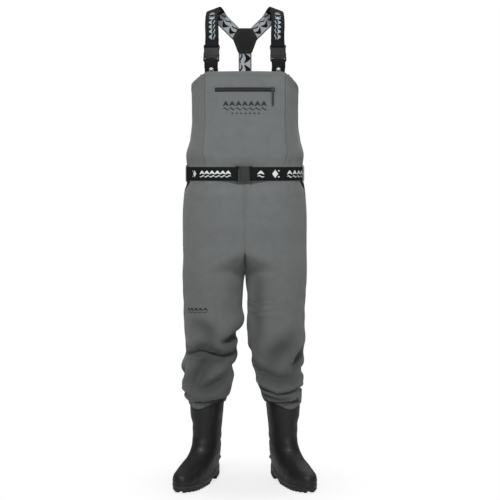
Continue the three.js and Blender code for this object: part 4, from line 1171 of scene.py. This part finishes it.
BRACE_X, BRACE_Y, BRACE_Z = 98.0, -104.5, 1281.0
TILT, SPLIT_AT = math.radians(13), 14 / 30
for name, side in SIDES:
    yaw, origin = math.radians(8) * side, (side * BRACE_X, BRACE_Y, BRACE_Z)

    def own(points):
        return matrix_points(points, yaw, TILT, origin)

    wide = np.array([side * math.cos(yaw), side * math.sin(yaw), 0])
    up = own(loop_points(SOCKET_BAR, 1, 22))
    route = rounded([own((0, -3, SOCKET_BAR + 6)), own((0, -3, SOCKET_BAR + 30)),
                     (side * BRACE_X, -66, 1380), (side * (BRACE_X - 1), -34, 1412),
                     (side * (BRACE_X - 4), 2, 1430), (side * (BRACE_X - 13), 42, 1426),
                     on_yoke(side * 69, 62), on_yoke(side * 50, 43),
                     on_yoke(side * 32, 25), on_yoke(side * 18, 11)], 120)
    t = np.linspace(0, 1, 120)[:, None]
    shoulder = np.array([side * 0.93, -0.1, -0.36])
    blade = np.array([side, 0, 0]) + on_yoke(0, -1) - on_yoke(0, 0)
    lean = wide + (shoulder - wide) * ease(t, 0.15, 0.5)
    lean = lean + (blade / np.linalg.norm(blade) - lean) * ease(t, 0.6, 0.8)
    path = np.concatenate([up[:-1], route])
    across = np.concatenate([np.tile(wide, (len(up) - 1, 1)), lean])
    band = Band(path, across, (0, 1, 0))
    # The band's first outward direction is at its tail, which lies behind the bar.
    band.turn_to(len(up) + 8, (0, -1, 0))
    begin = band.s[len(up)]
    split = band.s[len(up) - 1 + int(SPLIT_AT * 119)]
    top = band.s[len(up) - 1 + int(0.585 * 119)]
    front = band.mesh(f"brace_strap_front_{name}", (WEB, WEB_BACK), 0, split, inside_from=split)
    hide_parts(f"brace_front_{name}")
    tuple(world((side * BRACE_X, -80, 1385)))
    tuple(world((side * BRACE_X, -96, 1335)))
    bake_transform(front)
    back = band.mesh(f"brace_strap_back_{name}", (WEB, WEB_BACK), split, inside_from=top + 34)
    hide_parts(f"brace_back_{name}")
    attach(back, "waders")
    up_print = lay_print(f"brace_print_front_{name}", print_row(begin + 8, split - 3), band.side(OUTSIDE),
                         PRINT_GREY)
    tuple(world((side * BRACE_X, -80, 1385)))
    tuple(world((side * BRACE_X, -96, 1335)))
    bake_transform(up_print)
    over = lay_print(f"brace_print_back_{name}", print_row(split + 3, band.s[-1] - 34), band.side(OUTSIDE),
                     PRINT_GREY)
    under = lay_print(f"brace_print_under_{name}", print_row(top + 2, top + 34), band.side(INSIDE),
                      PRINT_GREY)
    dark = lay_print(f"brace_print_inner_{name}", print_row(top + 36, band.s[-1] - 4, 1.5),
                     band.side(INSIDE), PRINT_BLACK)
    lines = edge_lines(f"brace_edge_lines_{name}", band, top + 35, band.s[-1] - 4)
    for obj in (over, under, dark, lines):
        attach(obj, "waders")

    down = own(loop_points(PLUG_BAR, -1, 16))

    def inside_at(x, z):
        bend = np.arcsin(np.maximum(0, x - flat_half(z)) / (half_width(z) - flat_half(z)))
        return -(front_depth(z) - 2.5) * np.cos(bend)

    def tab_inside(z):
        near = (inside_at(BRACE_X - WEB_WIDTH / 2, z) + inside_at(BRACE_X + WEB_WIDTH / 2, z)) / 2
        return np.array([side * BRACE_X, near + WEB_THICK / 2 + 1.8, z])

    tab_path = np.concatenate([down,
                               rounded([own((0, -2, PLUG_BAR - 16)), tab_inside(1240), tab_inside(1225),
                                        tab_inside(1203)], 24)])
    tab = Band(tab_path, wide, (0, 1, 0))
    tab.turn_to(len(down) + 4, (0, -1, 0))
    piece = tab.mesh(f"brace_tab_band_{name}", (WEB, WEB_BACK))
    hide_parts(f"brace_tab_{name}")
    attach(piece, "waders")
    start = tab.s[len(down)]
    mark = lay_print(f"brace_tab_print_{name}", lozenge(start + 3, 0.9), tab.side(OUTSIDE), PRINT_PALE)
    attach(mark, "waders")
    cross = [(-15, -4), (15, -4), (15, -30), (-15, -30), (-15, -4), (15, -30)]
    cross = np.concatenate([np.linspace(a, b, 14) for a, b in zip(cross, cross[1:])])
    sewn = stitch(f"brace_tab_stitches_{name}", [tab.place(tab.s[-1] + cross[:, 1], cross[:, 0], -0.9)])
    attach(sewn, "waders")

# The rear strap runs from the yoke down inside the bib's back.
def rear_face(z):
    return np.array([0, back_depth(z) - 2.5 - 0.3 - 0.8 - 0.2, z])


rear_path = rounded([on_yoke(0, -20), on_yoke(0, -34), on_yoke(0, -48), (0, 113, 1250), (0, 113.5, 1180),
                     rear_face(1119),
                     rear_face(1103), rear_face(1073)], 90)
rear = Band(rear_path, (1, 0, 0), (0, 1, 0))
rear_obj = rear.mesh("rear_strap_band", (WEB, WEB_BACK))
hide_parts("rear_strap")
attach(rear_obj, "waders")
rear_out = lay_print("rear_print_outer", print_row(30, rear.s[-1] - 48), rear.side(OUTSIDE), PRINT_PALE,
                     flip=True)
rear_in = lay_print("rear_print_inner", print_row(20, rear.s[-1] - 48, 1.85), rear.side(INSIDE), PRINT_BLACK)
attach(rear_out, "waders")
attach(edge_lines("rear_edge_lines", rear, 20, rear.s[-1] - 48), "waders")
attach(rear_in, "waders")
print("braces done")

# %% [markdown]
# ## Yoke
#
# Two hexagonal plates with rounded corners hold the three straps, with a double row of stitches.

# %% Yoke
corner = np.array([(-22, 38), (22, 38), (38.5, 8), (21, -39), (-21, -39), (-38.5, 8)], float)


def yoke_outline(inset):
    """The yoke's six sides drawn in by inset, with rounded corners."""
    scale = 1 - inset / 36
    points = []
    for i in range(6):
        a, b, c = corner[i - 1] * scale, corner[i] * scale, corner[(i + 1) % 6] * scale
        before, after = b + (a - b) / np.linalg.norm(a - b) * 5, b + (c - b) / np.linalg.norm(c - b) * 5
        for f in np.linspace(0, 1, 6):
            points.append(before * (1 - f) ** 2 + 2 * b * f * (1 - f) + after * f * f)
    return np.array(points)


for label, sign in (("front", -1), ("back", 1)):
    rings = [(0, 1.1), (0, 2.5), (1.0, 3.1), (5, 3.3), (7.5, 3.1), (12, 3.1)]
    points = np.array([[on_yoke(x, z, sign * lift) for x, z in yoke_outline(inset)] for inset, lift in rings])
    verts = points.reshape(-1, 3)
    n = points.shape[1]
    caps = [[(len(rings) - 1) * n + i for i in range(n)], list(range(n))[::-1]]
    faces = list(grid_faces(len(rings), n, True)) + caps
    shrink = np.repeat([1 - inset / 36 for inset, lift in rings], n)[:, None]
    uv = np.tile(yoke_outline(0), (len(rings), 1)) / 1000 * shrink
    obj = new_object(f"yoke_{label}", world(verts), faces, (YOKE,), uv)
    face_outwards(obj)
    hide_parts(f"yoke_{label}_plate")
    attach(obj, "waders")
    line, inner = (np.array([on_yoke(x, z, sign * lift)
                             for x, z in np.concatenate([yoke_outline(inset), yoke_outline(inset)[:1]])])
                   for inset, lift in ((4.5, 3.35), (8, 3.15)))
    sewn = stitch(f"yoke_stitches_{label}", [line, inner], THREAD)
    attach(sewn, "waders")
print("yoke done")

# %% [markdown]
# ## Belt
#
# The long end runs round the waist from the buckle's socket, the short end from its plug. Three
# keepers hold the belt, and a painted shadow strip lies on the hip below it at each side.

# %% Belt
BUCKLE_X = -12.0
buckle_y = -(front_depth(WAIST) + 0.3 + 5 + 0.2)


def on_buckle(points):
    """The belt buckle's own frame lies on its side: its z runs along +x."""
    p = np.asarray(points, float)
    return np.stack([p[..., 2], p[..., 1], -p[..., 0]], -1) + np.array([BUCKLE_X, buckle_y, WAIST])


lift = 0.3 + 0.4 + WEB_THICK / 2
LOOP_U = 1.86
long_end = torso(np.linspace(0.92, 8 - LOOP_U, 160), WAIST, -lift)
short_end = torso(np.linspace(-0.95, -LOOP_U + 0.006, 50), WAIST, -lift)
socket_loop, plug_loop = on_buckle(loop_points(SOCKET_BAR, 1, 20)), on_buckle(loop_points(PLUG_BAR, -1, 20))
joined = rounded([socket_loop[-1], (50, buckle_y + 0.5, WAIST), long_end[0], long_end[2]], 16)[1:-1]
long_band = Band(np.concatenate([socket_loop, joined, long_end[2:]]), (0, 0, 1), (0, 1, 0))
long_band.turn_to(len(socket_loop) + 30, (0, -1, 0))
joined = rounded([plug_loop[-1], (-52, buckle_y + 0.8, WAIST), short_end[0], short_end[2]], 16)[1:-1]
short_band = Band(np.concatenate([plug_loop, joined, short_end[2:]]), (0, 0, 1), (0, 1, 0))
short_band.turn_to(len(plug_loop) + 30, (0, -1, 0))
long_obj = long_band.mesh("belt_long_end", (WEB, WEB_BACK))
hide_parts("belt_webbing")
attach(long_obj, "waders")
short_obj = short_band.mesh("belt_short_end", (WEB, WEB_BACK))
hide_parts("belt_front_right")
slide = tuple(world((-110, -110, WAIST))), tuple(world((-45, -118, WAIST)))
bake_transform(short_obj)
go = long_band.s[len(socket_loop)]
motifs = [*scaled(crest(0, 1.3), go + 6, 0, 1.2, 1), *lozenge(go + 50, 1.6),
          *print_row(go + 96, long_band.s[-1] - 16, 1.15)]
long_print = lay_print("belt_print_long", motifs, long_band.side(OUTSIDE), PRINT_PALE)
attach(long_print, "waders")
go = short_band.s[len(plug_loop)]
motifs = [shape for i in range(6) for shape in crest(go + 5 + 16 * i, 1.3)] + lozenge(go + 116, 1.4)
short_print = lay_print("belt_print_short", motifs, short_band.side(OUTSIDE), PRINT_PALE)
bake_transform(short_print)

for label, u, width, colour in (("left", LOOP_U, 32, WEB_BACK), ("right", 8 - LOOP_U, 32, LOOP),
                                ("back", 4, 30, LOOP)):
    reach = WEB_THICK + 1.6
    tall = [26, 24.2, 22.5, 21, 12, 0, -12, -21, -22.5, -24.2, -26]
    outs = [1.2, 1.5, 2.4, reach, reach + 0.4, reach + 0.4, reach + 0.4, reach, 2.4, 1.5, 1.2]
    path = rounded([torso(u, WAIST + dz, -(out + 0.3)) for dz, out in zip(tall, outs)], 50)
    tangent = torso(u + 0.02, WAIST) - torso(u - 0.02, WAIST)
    loop_band = Band(path, tangent, torso(u, WAIST) * (1, 1, 0))
    obj = loop_band.mesh(f"belt_keeper_{label}", (colour, colour), width=width, thick=1.3, step=1.5)
    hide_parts(f"belt_loop_{label}")
    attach(obj, "waders")
    ends = [loop_band.place(np.full(12, s), np.linspace(-width / 2 + 2, width / 2 - 2, 12), 0.75)
            for s in (2.2, loop_band.s[-1] - 2.2)]
    sewn = stitch(f"belt_keeper_stitches_{label}", ends, THREAD)
    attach(sewn, "waders")

# A painted shadow strip in the black webbing's material narrows downwards below the belt on each side.
for name, side in SIDES:
    hip = surface[name][1]

    def on_hip(a, b):
        """a runs round the hip in columns from the front, b is the row below the waist."""
        column = np.clip(np.asarray(a, float), 0, ARC - 2)
        row = np.clip(np.asarray(b, float), 0, hip.shape[0] - 2)
        c, r = column.astype(int), row.astype(int)
        fc, fr = (column - c)[..., None], (row - r)[..., None]
        above = hip[r, c] * (1 - fc) + hip[r, c + 1] * fc
        below = hip[r + 1, c] * (1 - fc) + hip[r + 1, c + 1] * fc
        p = above * (1 - fr) + below * fr
        away = p * (1, 1, 0)
        return p + away / np.linalg.norm(away, axis=-1, keepdims=True) * 0.9

    t = np.linspace(0, 1, 16)[:, None]
    v = np.linspace(-1, 1, 12)[None, :]
    shape = np.stack([54 + 3 * t + v * (3.2 * (1 - t) ** 0.7 + 0.5), 6.4 + 8.5 * t + 0 * v], -1)
    insert = lay_print(f"side_insert_{name}", [shape], on_hip, WEB, flip=side < 0)
    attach(insert, "waders")
print("belt done")


# %% [markdown]
# ## Zip
#
# The zip lies across the pocket's slit. Geometry Nodes sets a row of teeth along two tape edges;
# the slider and its pull keep their solids.

# %% Zip tape and teeth
tape_y = -(FRONT_AT_ZIP - TAPE_BEHIND)
x, z = np.linspace(-93, 93, 187)[None, :], np.linspace(-11.3, 11.3, 41)[:, None]
points = np.stack(np.broadcast_arrays(x, tape_y - 0.55 - 0.5 * np.exp(-(z / 1.6) ** 2), ZIP_Z + z), -1)
tape = new_object("zip_tape_band", world(points.reshape(-1, 3)), grid_faces(41, 187), (ZIP_TAPE,),
                  lengths_uv(points).reshape(-1, 2))
thicken(tape, 0.8, inside=0)
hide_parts("zip_tape")
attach(tape, "waders")

group, given = new_group("Zip teeth", Pitch=0.0024, Width=0.0015, Height=0.0034, Depth=0.0016)
spots = add(group, "GeometryNodeCurveToPoints", {"Curve": given["Geometry"], "Length": given["Pitch"]},
            mode="LENGTH")
size = add(group, "ShaderNodeCombineXYZ", {0: given["Width"], 1: given["Depth"], 2: given["Height"]})
tooth = add(group, "GeometryNodeMeshCube", {"Size": size.outputs[0]})
turn = add(group, "GeometryNodeInputIndex").outputs[0]
odd = maths(group, "MODULO", turn, 2.0)
offset = add(group, "ShaderNodeCombineXYZ",
             {2: maths(group, "MULTIPLY", maths(group, "SUBTRACT", odd, 0.5), 0.0018)})
moved = add(group, "GeometryNodeSetPosition",
            {"Geometry": spots.outputs["Points"], "Offset": offset.outputs[0]})
row = add(group, "GeometryNodeInstanceOnPoints", {"Points": moved.outputs[0], "Instance": tooth.outputs[0]})
close_group(group, row, given["Material"])
line = np.stack([np.linspace(-86, 86, 80), np.full(80, tape_y - 1.9), np.full(80, ZIP_Z)], -1)
teeth = node_object("zip_teeth_row", group, curve_object("zip_path", [world(line)]), Material=ZIP)
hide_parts("zip_teeth")
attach(teeth, "waders")
print("zip done")

# %% [markdown]
# ## Hard parts
#
# The buckles, the slider, the pull and the other small solids keep their shape. A weld and a
# narrow bevel soften their edges, and each gets its material.

# %% Hard parts


def finish_solid(name, material, width=0.6, segments=2, angle=35):
    obj = nodes[name]
    obj.data.materials.clear()
    obj.data.materials.append(material)
    weld = obj.modifiers.new("Weld", "WELD")
    weld.merge_threshold = 0.00002
    bevel = obj.modifiers.new("Bevel", "BEVEL")
    bevel.width, bevel.segments = width / 1000, segments
    bevel.limit_method, bevel.angle_limit = "ANGLE", math.radians(angle)
    bevel.harden_normals = False
    obj.data.shade_smooth()
    normal = obj.modifiers.new("Normals", "WEIGHTED_NORMAL")
    normal.keep_sharp = False
    return obj


for name in nodes:
    if "buckle" in name:
        # The belt buckle's paler plastic is painted reflection.
        finish_solid(name, BELT_PLASTIC_PAINTED_SHEEN if "belt" in name else PLASTIC)
    elif name in ("zip_slider", "zip_pull"):
        finish_solid(name, ZIP, 0.35)
    elif "insole" in name:
        finish_solid(name, FOAM, 0.8)
    elif "seam_band" in name:
        finish_solid(name, RUBBER, 0.3)
    elif name == "crotch_gusset":
        finish_solid(name, LINING, 0.4)
    elif name == "chest_pocket_bag":
        finish_solid(name, LINING, 0.3)
print("hard parts finished")

# %% [markdown]
# ## Boots
#
# The upper is a smooth loft of that outline with a welt above the sole, a bump at the heel to push
# the boot off with, and soft creases at the ankle.

# %% Boot uppers
RING = 200
ring = np.arange(RING) / RING * 2 * np.pi
rows = np.concatenate([np.linspace(SOLE_TOP - 1.5, SOLE_TOP + 16, 26),
                       np.linspace(SOLE_TOP + 16, 110, 60)[1:],
                       np.linspace(110, BOOT_TOP, 70)[1:]])
for name, side in SIDES:
    base = boot_outline(ring[None, :], rows[:, None])
    n = normals(base, loop=True)
    if n[60, 0, 1] < 0:
        n = -n
    level = rows[:, None] + 0 * ring[None, :]
    turn = np.broadcast_to((np.degrees(ring) + 180) % 360, level.shape)
    angle = np.where(turn > 180, turn - 360, turn)
    push, drag, shade = crease_field(angle * side, level, 48.0, BOOT_CREASES)
    # Welt, rand and the bump at the heel.
    welt_push = 1.7 * (1 - ease(level, SOLE_TOP + 7.2, SOLE_TOP + 8.6))
    rand_push = 0.8 * (1 - ease(level, SOLE_TOP + 14.0, SOLE_TOP + 15.2))
    push += welt_push + rand_push
    heel = np.exp(-((180 - np.abs(angle)) / 42) ** 4)
    heel_bump = 5.5 * np.exp(-((level - 47) / 5.0) ** 2)
    heel_counter = 1.2 * (1 - ease(level, 70, 96)) * ease(level, 40, 52)
    push += heel * (heel_bump + heel_counter)
    toe_cap = np.exp(-(angle / 62) ** 4) * (1 - ease(base[..., 1], -178, -174))
    push += 1.1 * toe_cap * ease(level, SOLE_TOP + 14, SOLE_TOP + 18)
    push += 0.5 * waves(base, 70, 51 + side) + 0.25 * waves(base, 30, 61 + side)
    final = base + n * push[..., None]
    obj = new_object(f"boot_{name}", world(on_boot(final, side).reshape(-1, 3)),
                     grid_faces(len(rows), RING, True), (RUBBER, LINING),
                     lengths_uv(base).reshape(-1, 2))
    face_outwards(obj)
    thicken(obj, 2.6)
    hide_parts(f"boot_upper_{name}")
    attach(obj, f"lower_leg_{name}")
    print(obj.name, len(obj.data.vertices), "vertices")

# %% [markdown]
# ## Outsoles
#
# Rings of the boot's plan give the sole a bead, a welt and fine ribs, and Geometry Nodes lays the
# slanted tread bars under it, at the level of the floor.

# %% Outsoles
SOLE_RING = 480
fine = np.arange(SOLE_RING) / SOLE_RING * 2 * np.pi
plan = boot_outline(fine, SOLE_TOP)[:, :2]
half_plan = plan[SOLE_RING // 2::-1]  # one side, from toe to heel
step = np.roll(plan, -1, 0) - np.roll(plan, 1, 0)
outwards = np.stack([step[:, 1], -step[:, 0]], -1) / np.linalg.norm(step, axis=1, keepdims=True)
outwards *= np.sign((outwards * (plan + (0, 75))).sum(1, keepdims=True))


def sole_ring(grow, height, share=0.0):
    """One ring of the sole's edge; the heel block has slanted ribs and the forefoot upright ones."""
    y = plan[:, 1]
    ribs = 0.8 * np.where(y > -BREAST, np.tanh(3 * np.sin((y + 14 * share) * 2 * np.pi / 9)),
                          0.5 * np.sin(y * 2 * np.pi / 6))
    edge = plan + outwards * (grow + ribs * (0.15 < share < 0.75))[:, None]
    return np.stack([edge[:, 0], edge[:, 1], height(y)], -1)


def between(share):
    return lambda y: tread_height(y) + (SOLE_TOP + 2.5 + foot_rise(y) - tread_height(y)) * share


group, given = new_group("Tread bars", Depth=0.0075, Bar=0.0095, Slant=0.22)
reach = add(group, "GeometryNodeInputNamedAttribute", {"Name": "reach"},
            data_type="FLOAT").outputs["Attribute"]
hand = add(group, "GeometryNodeInputNamedAttribute", {"Name": "hand"}, data_type="FLOAT").outputs["Attribute"]
size = add(group, "ShaderNodeCombineXYZ", {0: reach, 1: given["Bar"], 2: given["Depth"]})
lean = add(group, "ShaderNodeCombineXYZ",
           {2: maths(group, "ADD", maths(group, "MULTIPLY", hand, given["Slant"]),
           add(group, "GeometryNodeInputNamedAttribute", {"Name": "turn"},
               data_type="FLOAT").outputs["Attribute"])})
bar = add(group, "GeometryNodeMeshCube", {"Size": (1, 1, 1)})
laid = add(group, "GeometryNodeInstanceOnPoints", {"Points": given["Geometry"], "Instance": bar.outputs[0],
           "Rotation": lean.outputs[0], "Scale": size.outputs[0]})
close_group(group, laid, given["Material"])

for name, side in SIDES:
    rings = [sole_ring(grow, between(share), share)
             for grow, share in ((-0.6, 1.0), (1.6, 0.98), (2.6, 0.9), (2.6, 0.82), (1.2, 0.78),
                                 (1.6, 0.72), (1.6, 0.6), (1.6, 0.5), (1.6, 0.4), (1.6, 0.3),
                                 (1.6, 0.2), (1.4, 0.12), (0.6, 0.02), (-1.0, 0.0))]
    inner = [np.stack([plan[:, 0] * (1 - s), plan[:, 1] * (1 - s * 0.15), tread_height(plan[:, 1])], -1)
             for s in (0.25, 0.5, 0.75, 1.0)]
    points = np.array(rings + inner)
    verts = on_boot(points, side).reshape(-1, 3)
    faces = list(grid_faces(len(points), SOLE_RING, True)) + [list(range(SOLE_RING))]
    obj = new_object(f"sole_{name}", world(verts), faces, (SOLE, BEAD_HIGHLIGHT))
    # The bead's outer face gets the pale painted highlight.
    for face in obj.data.polygons[SOLE_RING * 2:SOLE_RING * 3]:
        face.material_index = 1
    bm = bmesh.new()
    bm.from_mesh(obj.data)
    bmesh.ops.remove_doubles(bm, verts=bm.verts, dist=0.00005)
    bmesh.ops.recalc_face_normals(bm, faces=bm.faces)
    bm.to_mesh(obj.data)
    bm.free()
    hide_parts(f"outsole_{name}")
    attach(obj, f"lower_leg_{name}")
    along = [*np.arange(-BOOT_FRONT + 18, -64, 15.5), *np.arange(BREAST + 8, BOOT_BACK - 6, 14.5)]
    spots, reach, hand = [], [], []
    for y in along:
        wide = np.interp((y - 6, y, y + 6), half_plan[:, 1], half_plan[:, 0], 0, 0).min() - 3
        if wide < 9:
            continue
        for h in (-1, 1):
            spots.append((h * (wide / 2 + 3), y, 3.75 + toe_spring(y)))
            reach.append(wide - 4)
            hand.append(h)
    mesh = bpy.data.meshes.new("tread_points")
    mesh.from_pydata(world(on_boot(spots, side)).tolist(), [], [])
    for label, values in (("reach", np.array(reach) / 1000), ("hand", hand),
                          ("turn", np.full(len(hand), BOOT_TURN * side))):
        mesh.attributes.new(label, "FLOAT", "POINT").data.foreach_set("value", np.asarray(values, np.float32))
    base = bpy.data.objects.new("tread_points", mesh)
    bpy.context.collection.objects.link(base)
    bars_object = node_object(f"tread_{name}", group, base, Material=SOLE)
    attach(bars_object, f"lower_leg_{name}")
    print(obj.name, len(spots), "tread bars")

# %% [markdown]
# ## Camera, light and floor
#
# The camera looks straight at the front from chest height with a long lens. A large soft key light
# from above, weaker lights around it and a white surround give the even studio look.

# %% Camera, light and floor
scene = bpy.context.scene
scene.view_settings.view_transform = "Standard"
camera = bpy.data.objects.new("camera", bpy.data.cameras.new("camera"))
bpy.context.collection.objects.link(camera)
camera.data.lens = 99.28
camera.location = (0.0152, axis_y / 1000 - 4.1756, 0.9621)
camera.rotation_euler = (math.radians(90 - 3.516), 0, 0)
scene.camera = camera

floor_material, tree, shader = new_material("pale_floor")
shader.inputs["Base Color"].default_value = linear("#E8E8E8")
shader.inputs["Roughness"].default_value = 0.7
spot = add(tree, "ShaderNodeTexCoord").outputs["Object"]
away = add(tree, "ShaderNodeVectorMath", {0: spot}, operation="LENGTH").outputs["Value"]
speckle = add(tree, "ShaderNodeTexNoise", {0: spot, "Scale": 300.0}).outputs[0]
glow = add(tree, "ShaderNodeEmission", {"Color": (1, 1, 1, 1)})
seen = add(tree, "ShaderNodeLightPath").outputs["Is Camera Ray"]
lit = add(tree, "ShaderNodeMapRange",
          {0: maths(tree, "ADD", away, maths(tree, "MULTIPLY", speckle, 0.02)), 1: 0.1, 2: 0.42, 3: 0.72,
           4: 1.0},
          interpolation_type="SMOOTHSTEP").outputs[0]
both = add(tree, "ShaderNodeMixShader",
           {0: maths(tree, "MULTIPLY", lit, seen), 1: shader.outputs[0], 2: glow.outputs[0]})
tree.links.new(both.outputs[0], tree.nodes["Material Output"].inputs["Surface"])
floor = new_object("floor", [(-30, -30, 0), (30, -30, 0), (30, 30, 0), (-30, 30, 0)], [(0, 1, 2, 3)],
                   (floor_material,))

world_data = bpy.data.worlds.new("studio")
scene.world = world_data
world_data.use_nodes = True
tree = world_data.node_tree
back = tree.nodes["Background"]
back.inputs["Color"].default_value = (1, 1, 1, 1)
seen = add(tree, "ShaderNodeLightPath").outputs["Is Camera Ray"]
strength = add(tree, "ShaderNodeMapRange", {0: seen, 3: 0.24, 4: 1.0}).outputs[0]
tree.links.new(strength, back.inputs["Strength"])


def area_light(name, location, target, size, power):
    light = bpy.data.lights.new(name, "AREA")
    light.shape, light.size, light.energy = "DISK", size, power
    obj = bpy.data.objects.new(name, light)
    obj.location = location
    obj.rotation_euler = (Vector(target) - Vector(location)).to_track_quat("-Z", "Y").to_euler()
    bpy.context.collection.objects.link(obj)
    return obj


area_light("key", (-0.2, -3.1, 4.0), (0, 0, 0.9), 1.0, 138)
area_light("fill", (0.8, -3.8, 1.3), (0, 0, 0.6), 1.4, 10)
area_light("top", (0, 0.6, 3.4), (0, 0, 0.9), 2.0, 26)
area_light("back", (0.9, 3.2, 2.4), (0, 0, 0.9), 2.0, 9)
print("camera and lights ready")
